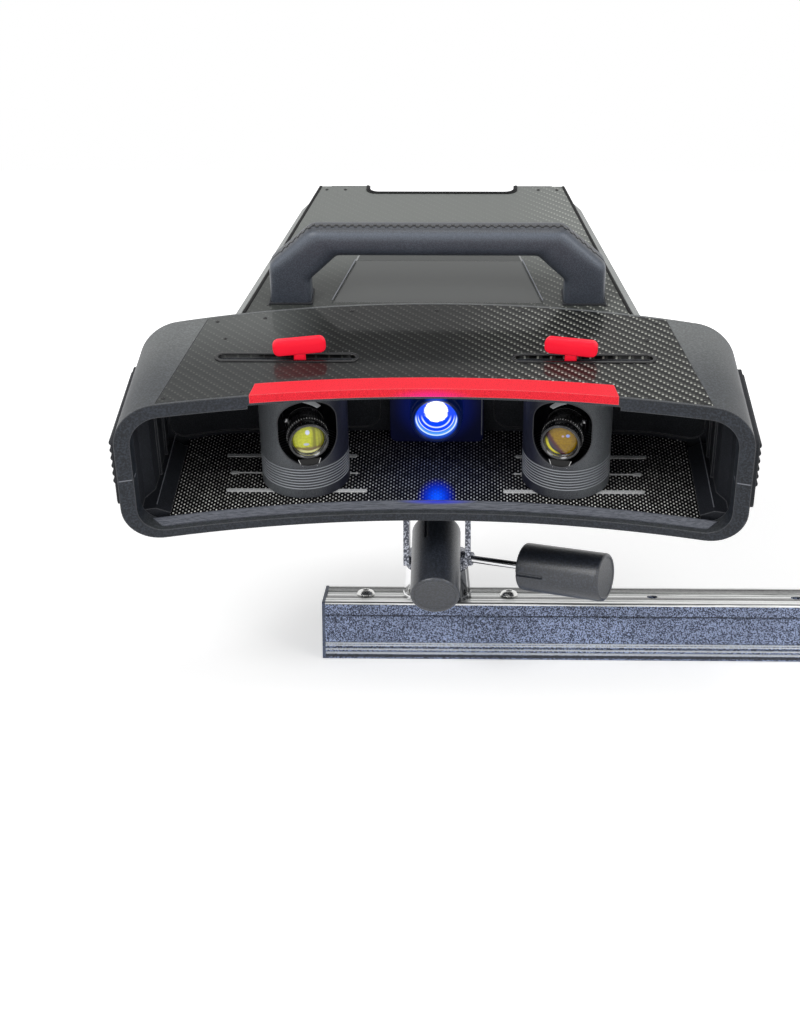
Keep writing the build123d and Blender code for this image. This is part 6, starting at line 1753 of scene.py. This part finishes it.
# ---------------- projector
@dataclass
class Projector:
    """Projector lens between the turrets, and the fittings of its housing.

    Args:
        front: Y of the housing's face.
        height: Height of the optical axis.
        radius: Radius of the lens ring.
        glass: Radius of the glass.
    """

    front: float = 92.0
    height: float = 43.0
    radius: float = 20.0
    glass: float = 15.8

    def put(self, surface: Surface) -> Surface:
        """Carries a form whose Z runs forwards out of the housing's face."""
        return TIPPED.put(surface.placed(facing((0, -1, 0)), (0, self.front, self.height)))

    def ring(self) -> Surface:
        """Stepped ring: wide foot, narrower bezel with a bevelled mouth, seat and throat."""
        return turned_ring(rounded_profile([
            (17, 0, 0), (self.radius, 0, 0), (self.radius, 16, 0.6), (19, 16.2, 0.2),
            (19, 22, 0.7), (17.7, 22, 0.3), (self.glass, 20.6, 0.2),
            (self.glass, 15, 0), (14, 15, 0), (14, 0, 0), (16, 0, 0)]), 128)

    def element(self) -> Surface:
        """Glass with a low dome."""
        return domed(self.glass - 0.08, 20.2, 2.0, 15.1, 0.98, 14, 112)

    def seams(self) -> Surface:
        """Two curved grooves in the housing's face, drawn as raised dark lips."""
        lip = swept(arc(25.5, 28, 80, 20, 0.05), (0, 0, 1), oval(0.22, 0.45, 8), closed=False)
        return lip + lip.mirrored()

    def clamp(self) -> Surface:
        """C-shaped spring clip with a screw at the housing's upper right."""
        clip = swept(arc(3.0, 50, 320, 26, 0.5), (0, 0, 1), oval(0.6, 0.55, 10), closed=False)
        head = turned_form(rounded_profile([
            (1.5, 0, 0), (1.5, 1.1, 0.4), (0.2, 1.1, 0)]), 28)
        return (clip + head).moved(25.0, 20.0, 0)

    def edge_line(self) -> Surface:
        """Pale bead down the housing's right edge: a painted highlight."""
        path = np.column_stack([
            np.full(12, 34.3), np.linspace(-25.5, 50.0, 12), np.full(12, -0.05)])
        return swept(path, (0, 0, 1), oval(0.3, 0.5, 8), closed=False)

    def build(self, finishes: Finishes) -> None:
        """Puts the lens and the fittings on the housing."""
        Piece("projector_edge_line", self.put(self.edge_line()), finishes.light_edge, "scanner", "inner_plastic")
        Piece("projector_ring", self.put(self.ring()), finishes.lit_bezel, "scanner", "lens_black").instead_of(
            "projector_lens_barrel")
        Piece("projector_element", self.put(self.element()), finishes.lamp_glass, "scanner",
              "projector_glass").instead_of("projector_glass")
        Piece("projector_seams", self.put(self.seams()), finishes.socket_dark, "scanner", "inner_plastic")
        Piece("projector_clip", self.put(self.clamp()), finishes.steel, "scanner", "screw_steel")


# ---------------- head
@dataclass
class Grip:
    """Pebbled grip of one of the head's handles.

    Args:
        name: The node that it stands for.
        body: The body that it turns with.
        start: Where its rod end lies.
        axes: Its own axes; Z runs away from the head.
        turn: Turn of the first slot from X in degrees.
        radius: Its radius.
        length: Its length.
    """

    name: str
    body: str
    start: Array
    axes: Array
    turn: float = 0.0
    radius: float = 18.6
    length: float = 68.0

    def form(self) -> Surface:
        """Rounded cylinder; three slots of depth d sink where both the turn and the length are in range."""
        segments = 216
        angles = np.linspace(0, 2 * math.pi, segments, endpoint=False)
        near = rounded_profile([(4.2, 0.5, 0), (6.0, 0.0, 0.3), (self.radius, 0, 2.0),
                                (self.radius, 8, 0)], 7)
        run = np.column_stack([np.full(40, self.radius), np.linspace(9, 27, 40)])
        far = rounded_profile([
            (self.radius, 30, 0), (self.radius, self.length, 2.2), (15.9, self.length, 0.25),
            (15.4, self.length - 0.7, 0.25), (0.4, self.length - 0.7, 0)], 7)
        profile = np.vstack([near, run, far])
        across = self.radius * np.abs(
            (angles - math.radians(self.turn) + math.pi / 3) % (2 * math.pi / 3) - math.pi / 3)
        along = profile[:, 1:]
        inside = 1 - np.clip((np.hypot(across, np.maximum(along - 21.9, 0)) - 0.85) / 0.45, 0, 1)
        inside = inside * (profile[:, :1] > self.radius - 1.8)
        return turned_form(profile, segments, -1.6 * inside)

    def build(self, finishes: Finishes) -> None:
        """Puts the grip on its rod."""
        Piece(f"{self.name}_pebbled", self.form().placed(self.axes, self.start), finishes.grip, self.body,
              "grip_plastic").instead_of(self.name)


@dataclass
class Head:
    """Turned base, the two grips and the crossbar's screws.

    Args:
        rail: Height of the crossbar.
        pan: Line of the pan handle.
        pan_reach: Where its grip starts on that line.
        tilt_height: Height of the tilt axis.
        tilt_drop: Downward angle of the tilt handle in degrees.
        tilt_shift: How far its line passes the tilt axis.
        tilt_reach: Where its grip starts on that line.
        screw: Distance of a crossbar screw from the middle.
    """

    rail: float = 47.0
    pan: PanHandleAxis = PanHandleAxis()
    pan_reach: float = 76.0
    tilt_height: float = 127.0
    tilt_drop: float = 31.0
    tilt_shift: float = 5.5
    tilt_reach: float = 42.0
    screw: float = 57.25

    def base(self) -> Surface:
        """Cone with a waisted foot flange and a spigot, turned about the pan axis."""
        low = self.rail
        return turned_form(rounded_profile([
            (26.4, low, 0), (27.2, low, 0.3), (27.2, low + 2.6, 0.5),
            (26.5, low + 3.1, 0.3), (26.6, low + 4.0, 0.3),
            (24.6, low + 24.3, 1.0), (12.0, low + 24.3, 0), (12.0, low + 30.3, 0)],
            6), 144)

    def rail_screw(self) -> Surface:
        """Button head with a hexagon socket, over its shank."""
        low = self.rail - 1.0
        outside = rounded_profile([
            (3.9, 1.0, 0), (4.0, low, 0), (7.3, low, 0), (7.3, low + 1.5, 0.5),
            (5.9, low + 3.5, 2.4), (3.4, low + 4.4, 0.8), (2.9, low + 4.4, 0)])
        socket = np.array([(2.25, low + 4.25), (2.2, low + 2.0)])
        profile = np.vstack([outside, socket])
        return turned_form(profile, 96, hexagonal(profile, 96, 2.5))

    def grips(self) -> list[Grip]:
        """The pan handle's grip and the tilt handle's."""
        pan_start = self.pan.origin + self.pan.axes[2] * self.pan_reach
        back, drop = -math.cos(math.radians(self.tilt_drop)), -math.sin(math.radians(self.tilt_drop))
        tilt_axes = np.array([[0, -drop, back], [1, 0, 0], [0, back, drop]])
        tilt_start = tilt_axes[2] * self.tilt_reach + (
            0, drop * self.tilt_shift, self.tilt_height - back * self.tilt_shift)
        return [
            Grip("pan_handle_grip", "pan_handle", pan_start, self.pan.axes, 65.0),
            Grip("tilt_handle_grip", "tilt_handle", tilt_start, tilt_axes, -36.0)]

    def build(self, finishes: Finishes) -> None:
        """Puts base, grips and screws in place."""
        Piece("head_base_turned", self.base(), finishes.base_chrome, "crossbar", "head_chrome").instead_of("head_base")
        for grip in self.grips():
            grip.build(finishes)
        screw = self.rail_screw()
        heads = joined([screw.moved(side * self.screw, 0, 0) for side in (-1, 1)])
        Piece("rail_button_screws", heads, finishes.button_steel, "crossbar", "screw_steel").instead_of("rail_screws")
        # Black fills in the hexagon sockets of the crossbar's screws: painted shade.
        shade_fill = Slab(1.95, 1.95, 1.6, 1.9, 0.1, 4).surface().moved(0, 0, self.rail + 2.4)
        shade_fills = joined([shade_fill.moved(side * self.screw, 0, 0) for side in (-1, 1)])
        Piece("rail_screw_sockets", shade_fills, finishes.socket_dark, "crossbar", "screw_steel")


# ---------------- carrying handle
@dataclass
class CarryHandle:
    """Wrapped handle: a polygon of runs whose section goes from a flat foot to a rounder bar.

    Args:
        foot: Height of its feet.
        near: Y of its front.
        far: Y of its back.
        bend: Rounding of the bends, in path steps.
    """

    foot: float = 108.5
    near: float = 135.0
    far: float = 159.0
    bend: int = 3

    def stations(self) -> tuple[Array, Array, Array]:
        """Outer and inner edge along the handle and the section's power, smoothed over the bends."""
        rear = 107.0
        outer = np.array([(127, 1.5), (127, 31), (95, 60), (-95, 60), (-127, 31), (-127, 1.5)]) + (0, rear)
        inner = np.array([(96, 1.5), (96, 19), (75, 38), (-75, 38), (-96, 19), (-96, 1.5)]) + (0, rear)
        power = np.array([7.0, 5.0, 3.2, 3.2, 5.0, 7.0])
        length = np.concatenate([[0], np.cumsum(np.linalg.norm(np.diff(outer, axis=0), axis=1))])
        places = np.linspace(0, length[-1], 190)
        kernel = np.hanning(2 * self.bend + 3)[1:-1]
        kernel /= kernel.sum()

        def along(values: Array) -> Array:
            """Values between the stations, averaged with their neighbours; the ends stay."""
            fine = np.interp(places, length, values)
            padded = np.concatenate([
                2 * fine[0] - fine[self.bend:0:-1], fine, 2 * fine[-1] - fine[-2:-self.bend - 2:-1]])
            return np.convolve(padded, kernel, "valid")

        edges = [np.column_stack([along(edge[:, 0]), along(edge[:, 1])]) for edge in (outer, inner)]
        return edges[0], edges[1], along(power)

    def form(self) -> Surface:
        """Rings c + a u C + b v S with C, S the signed powers of cosine and sine of the turn."""
        outer, inner, power = self.stations()
        middle, half = (outer + inner) / 2, (outer - inner) / 2
        turn = np.linspace(0, 2 * math.pi, 72, endpoint=False)
        cos, sin = np.cos(turn), np.sin(turn)
        share = 2 / power[:, None]
        up = np.sign(cos) * np.abs(cos) ** share
        side = np.sign(sin) * np.abs(sin) ** share
        y_middle, y_half = (self.near + self.far) / 2, (self.far - self.near) / 2
        points = np.stack([
            middle[:, :1] + half[:, :1] * up, y_middle + y_half * side, middle[:, 1:] + half[:, 1:] * up], -1)
        return lidded(points).outward()

    def seam_path(self) -> Array:
        """Line along the middle of the outer face, in the level frame."""
        outer = self.stations()[0]
        y = np.full(len(outer), (self.near + self.far) / 2 - 1.2)
        return np.column_stack([outer[:, 0], y, outer[:, 1]])

    def stitches(self) -> Surface:
        """Short thread runs that cross the seam to and fro, each a rounded slab on the leather."""
        path = self.seam_path()[22:-22]
        length = np.concatenate([[0], np.cumsum(np.linalg.norm(np.diff(path, axis=0), axis=1))])
        places = np.arange(2, length[-1] - 2, 2.9)
        origins = np.column_stack([np.interp(places, length, path[:, axis]) for axis in range(3)])
        ahead = np.column_stack([
            np.interp(places + 1, length, path[:, axis]) - np.interp(places - 1, length, path[:, axis])
            for axis in range(3)])
        ahead /= np.linalg.norm(ahead, axis=1, keepdims=True)
        over = np.cross(np.broadcast_to((0.0, 1.0, 0.0), ahead.shape), ahead)
        over = over * np.sign(over[:, 2:])
        over -= (over * ahead).sum(1, keepdims=True) * ahead
        over /= np.linalg.norm(over, axis=1, keepdims=True)
        side = np.cross(over, ahead)
        lean = np.where(np.arange(len(places)) % 2 == 0, 1.0, -1.0)[:, None] * math.radians(46)
        along = np.cos(lean) * ahead + np.sin(lean) * side
        thread = Slab(3.6, 0.55, 0.9, 0.5, 0.3, 3).surface()
        axes = np.stack([along, np.cross(over, along), over], 1)
        return copies(thread, axes, origins)

    def seam(self) -> Surface:
        """Shallow welt under the stitches."""
        path = self.seam_path()[8:-8]
        lift = np.cross(np.gradient(path, axis=0), (0.0, 1.0, 0.0))
        return swept(path, lift, oval(0.2, 1.0, 8), closed=False)

    def build(self, finishes: Finishes) -> None:
        """Puts the handle on the rear body."""
        Piece("wrapped_handle", TIPPED.put(self.form()), finishes.leather, "scanner",
              "handle_leather").instead_of("carry_handle")
        Piece("handle_stitches", TIPPED.put(self.stitches()), finishes.thread, "scanner", "handle_leather")
        Piece("handle_seam", TIPPED.put(self.seam()), finishes.seam, "scanner", "handle_leather")


# ---------------- trim of the hood and the rear body
@dataclass
class SlotSurrounds:
    """Gloss surrounds of the two knob slots.

    Args:
        inner: Inner end of a slot.
        outer: Outer end of a slot.
        y: The slots' Y.
        half: Half of a slot's width.
        top: Height of the hood's top.
    """

    inner: float = 56.0
    outer: float = 157.0
    y: float = 45.0
    half: float = 5.25
    top: float = 110.0

    def form(self) -> Surface:
        """Flanged sleeve section carried round a stadium."""
        middle, reach = (self.inner + self.outer) / 2, (self.outer - self.inner) / 2
        flat = rounded_rectangle(reach, self.half, self.half - 0.01, 14)
        path = np.column_stack([flat[:, 0] + middle, flat[:, 1] + self.y, np.full(len(flat), self.top)])
        section = np.array([
            (-3.0, 1.5), (0.45, 1.5), (0.72, 1.3), (0.8, 0.9), (0.8, -0.6), (0.7, -0.95), (0.4, -1.2), (0.0, -1.2),
            (0.0, 0.1), (-3.0, 0.1)])
        return swept(path, (0, 0, 1), section)

    def scale(self) -> Surface:
        """Plain setting lines behind each slot, every fifth one longer."""
        places = np.linspace(self.inner + 6, self.outer - 6, 19)
        marks = []
        for chosen, half in ((np.arange(19) % 5 == 0, 1.5), (np.arange(19) % 5 > 0, 0.8)):
            mark = Slab(0.16, half, 0.12, 0.1, 0.03, 2).surface()
            count = int(chosen.sum())
            origins = np.column_stack([
                places[chosen], np.full(count, self.y + self.half + 3.2 + half), np.full(count, self.top)])
            marks.append(copies(mark, np.broadcast_to(np.eye(3), (count, 3, 3)), origins))
        return joined(marks)

    def build(self, finishes: Finishes) -> None:
        """Lays both surrounds and their setting lines on the top panel."""
        form = self.form()
        Piece("slot_surrounds", TIPPED.put(form + form.mirrored()), finishes.black_gloss, "scanner",
              "liner_gloss").instead_of("slot_liners")
        scale = self.scale()
        Piece("slot_scales", TIPPED.put(scale + scale.mirrored()), finishes.faint_mark, "scanner", "guide_grey")


@dataclass
class Fasteners:
    """Small countersunk screws of the panels, in the level frame.

    Args:
        hood_top: Height of the hood's top.
        rear_top: Height of the rear panel.
        radius: Radius of a head.
    """

    hood_top: float = 110.0
    rear_top: float = 107.0
    radius: float = 1.45

    def head(self) -> Surface:
        """Low head with a rounded rim and a hexagonal socket."""
        profile = np.array([
            (1.0, -0.05), (1.0, 0.0), (1.0, 0.22), (0.93, 0.34), (0.80, 0.40), (0.45, 0.40), (0.42, 0.1)])
        profile = profile * (self.radius, 1.0)
        return turned_form(profile, 36, hexagonal(profile, 36, 0.5 * self.radius))

    def places(self) -> Array:
        """Centres of the heads on the hood and on the rear panel."""
        hood = [(187.0, -14.0), (133.5, -4.0), (163.0, 100.0), (154.0, 73.3), (128.0, 106.0), (64.0, 118.5)]
        rear = [(83.0, 351.5), (99.0, 351.5), (128.0, 133.5), (112.0, 246.0)]
        both = [(side * x, y, self.hood_top) for x, y in hood for side in (-1, 1)]
        both += [(side * x, y, self.rear_top) for x, y in rear for side in (-1, 1)]
        return np.array(both + [(0.0, 120.0, self.hood_top)])

    def build(self, finishes: Finishes) -> None:
        """Sets all the screws."""
        places = self.places()
        heads = copies(self.head(), np.broadcast_to(np.eye(3), (len(places), 3, 3)), places)
        Piece("panel_screws", TIPPED.put(heads), finishes.small_screw, "scanner", "screw_steel")


@dataclass
class HoodTrim:
    """Thin trim of the hood: seam ticks on the rim and a painted highlight line along each kerb.

    Args:
        half: Half width of the hood.
        front_radius: Radius of its front arc.
        seam: Height of the seam.
    """

    half: float = 222.0
    front_radius: float = 800.0
    seam: float = 52.05

    def front_y(self, x: Array | float) -> Array:
        """Y of the front arc, sqrt(R^2 - x^2) - R."""
        return np.sqrt(self.front_radius ** 2 - np.square(x)) - self.front_radius

    def seam_ticks(self) -> Surface:
        """Narrow bright inserts in the seam, on the rim's face and inside it."""
        middle = self.half - 5.5
        y = float(self.front_y(middle))
        out = np.array([-middle, -self.front_radius - y, 0.0])
        inner_x = self.half - 11.0
        inside = (inner_x, float(self.front_y(inner_x)) + 6.5, self.seam)
        ticks = joined([
            Slab(half, 0.36, 0.5, 0.2, 0.08, 3).surface().placed(facing(look), place)
            for half, look, place in ((4.6, out, (middle, y, self.seam)), (2.6, (-1, 0, 0), inside))])
        return ticks + ticks.mirrored()

    def kerb_lines(self) -> Surface:
        """Round cord of pale colour along the upper edge of each kerb: a painted highlight."""
        y = np.linspace(-6.0, 92.0, 24)
        path = np.column_stack([np.full(24, 201.1), y, np.full(24, 17.05)])
        line = swept(path, (0, 0, 1), oval(0.35, 0.4, 8), closed=False)
        return line + line.mirrored()

    def build(self, finishes: Finishes) -> None:
        """Puts the trim on the hood."""
        Piece("rim_seam_ticks", TIPPED.put(self.seam_ticks()), finishes.light_edge, "scanner", "shell_plastic")
        Piece("kerb_lines", TIPPED.put(self.kerb_lines()), finishes.light_edge, "scanner", "inner_plastic")


@dataclass
class RearFittings:
    """Gaskets of the rear panel, edge lines of the centre cover and contacts of the rear sockets.

    Args:
        end: Y of the rear end wall.
        top: Height of the rear panel.
    """

    end: float = 360.0
    top: float = 107.0

    def gaskets(self) -> Surface:
        """Rubber cords along the rear panel's sides and round the notch of its rear edge."""
        steps = np.linspace(0, 1, 16)
        side = np.column_stack([
            145.6 - steps * 41.0, 121.0 + steps * (self.end - 122.5), np.full(16, self.top)])
        cord = swept(side, (0, 0, 1), oval(0.8, 1.3, 10), closed=False)
        turn = np.linspace(0, math.pi / 2, 9)
        bend = np.column_stack([-54 - 9 * np.sin(turn[::-1]), self.end - 6 - 9 * np.cos(turn[::-1])])
        flat = np.vstack([[-63, self.end - 2], bend, (bend * (-1, 1))[::-1], [63, self.end - 2]])
        notch = np.column_stack([flat, np.full(len(flat), self.top + 0.3)])
        return cord + cord.mirrored() + swept(notch, (0, 0, 1), oval(0.9, 1.4, 10), closed=False)

    def cover_lines(self) -> Surface:
        """Pale beads along the two sides of the centre cover."""
        steps = np.linspace(0, 1, 8)
        side = np.column_stack([80.2 - steps * 14.0, (139.6 + steps * 71.0),
                                np.full(8, self.top + 1.5)])
        line = swept(side, (0, 0, 1), oval(0.3, 0.5, 8), closed=False)
        return line + line.mirrored()

    def contacts(self) -> Surface:
        """Three flat pins in the inlet and a tongue in each data socket."""
        pin = Slab(1.0, 3.2, 9.0, 0.4, 0.3, 3).surface()
        axes = facing((0, 1, 0))
        pins = [(82.0, 41.5), (77.0, 33.0), (87.0, 33.0)]
        tongue = Slab(3.6, 0.7, 8.0, 0.2, 0.15, 3).surface()
        forms = [pin.placed(axes, (x, self.end - 5.9, z)) for x, z in pins]
        forms += [tongue.placed(axes, (-82.0, self.end - 6.4, z)) for z in (32.0, 54.0)]
        return joined(forms)

    def build(self, finishes: Finishes) -> None:
        """Puts the fittings on the rear body."""
        Piece("panel_gaskets", TIPPED.put(self.gaskets()), finishes.gasket, "scanner", "edging_rubber")
        Piece("cover_edge_lines", TIPPED.put(self.cover_lines()), finishes.light_edge, "scanner", "cover_satin")
        Piece("socket_contacts", TIPPED.put(self.contacts()), finishes.steel, "scanner", "screw_steel")


# ---------------- studio
@dataclass(frozen=True)
class Studio:
    """Camera, lights, world and floor.

    Args:
        place: The camera's place.
        yaw: Turn to the left in degrees.
        pitch: Turn downwards in degrees.
        lens: Focal length in millimetres on a 36 mm sensor's long side.
        shift: Sideways shift of the picture.
        floor_glow: How much lighter the floor shows than its lit colour.
        floor_half: Half of the floor's size.
        world_light: Strength of the world's light.
    """

    place: Triple = (24.554 * MM, -1367.145 * MM, 466.577 * MM)
    yaw: float = 1.302
    pitch: float = 14.194
    lens: float = 63.57
    shift: float = -0.0289
    floor_glow: float = 0.45
    floor_half: float = 6.0
    world_light: float = 0.42

    def camera(self) -> None:
        """Makes the camera the scene's own."""
        data = bpy.data.cameras.new("camera")
        data.lens = self.lens
        data.shift_x = self.shift
        data.clip_start, data.clip_end = 0.05, 50.0
        camera = bpy.data.objects.new("camera", data)
        camera.location = self.place
        camera.rotation_euler = (math.radians(90 - self.pitch), 0.0, math.radians(self.yaw))
        bpy.context.scene.collection.objects.link(camera)
        bpy.context.scene.camera = camera

    def lamp(self, name: str, place: Triple, aim: Triple,
             size: float, power: float) -> None:
        """Square area lamp that looks at a point.

        Args:
            name: The lamp's name.
            place: Where it stands.
            aim: What it looks at.
            size: Side of its square.
            power: Its power in watts.
        """
        data = bpy.data.lights.new(name, "AREA")
        data.energy, data.size = power, size
        lamp = bpy.data.objects.new(name, data)
        lamp.location = place
        lamp.rotation_euler = Matrix(facing(np.subtract(place, aim)).T.tolist()).to_euler()
        bpy.context.scene.collection.objects.link(lamp)

    def world(self) -> None:
        """White world that lights at its own strength and shows as plain white."""
        world = bpy.data.worlds.new("studio")
        world.use_nodes = True
        tree = world.node_tree
        tree.nodes.remove(tree.nodes["Background"])
        lighting, shown = (
            add(tree, "Background", {"Color": (1.0, 1.0, 1.0), "Strength": strength})
            for strength in (self.world_light, 1.0))
        mix = add(tree, "MixShader", {0: seen_directly(tree), 1: lighting, 2: shown})
        feed(tree.nodes["World Output"].inputs[0], mix)
        bpy.context.scene.world = world

    def floor(self) -> None:
        """Large pale floor under the crossbar that shows white and keeps the shadow."""
        half = self.floor_half
        mesh = bpy.data.meshes.new("floor")
        mesh.from_pydata([(-half, -half, 0), (half, -half, 0), (half, half, 0), (-half, half, 0)], [], [(0, 1, 2, 3)])
        floor = bpy.data.objects.new("floor", mesh)
        recipe = Recipe("floor_white")
        x, y, _ = recipe.coords(Space.SHARED).xyz()
        glow = distance(x, y).ramp(0.6, 1.6, self.floor_glow, 1.0)
        recipe.set(Base_Color=(0.82, 0.82, 0.82), Roughness=0.9, Specular_IOR_Level=0.1,
                   Emission_Color=(1.0, 1.0, 1.0), Emission_Strength=seen_directly(recipe.tree) * glow)
        mesh.materials.append(recipe.material)
        bpy.context.scene.collection.objects.link(floor)

    def build(self) -> None:
        """Sets the whole studio."""
        self.camera()
        self.world()
        self.floor()
        self.lamp("key", (-1.1, -1.5, 1.5), (0, 0, 0.2), 1.0, 22.0)
        self.lamp("fill", (1.4, -1.3, 1.0), (0, 0, 0.2), 1.0, 12.0)
        self.lamp("top", (0.0, -0.25, 2.1), (0, 0.05, 0.2), 1.0, 8.0)
        bpy.context.scene.view_settings.view_transform = "Standard"


def main() -> None:
    """Builds the studio and the part."""
    logging.basicConfig(level=logging.INFO, format="%(message)s")
    finishes = Finishes()
    Studio().build()
    dress_solids(finishes)
    for side in Side:
        turret = TurretFrame(side)
        for part in (Lens(turret), TurretTrim(turret), SlideKnob(turret)):
            part.build(finishes)
    for part in (Projector(), Head(), CarryHandle(), SlotSurrounds(), Fasteners(), HoodTrim(), RearFittings()):
        part.build(finishes)
    bpy.context.view_layer.update()


if __name__ == "__main__":
    main()
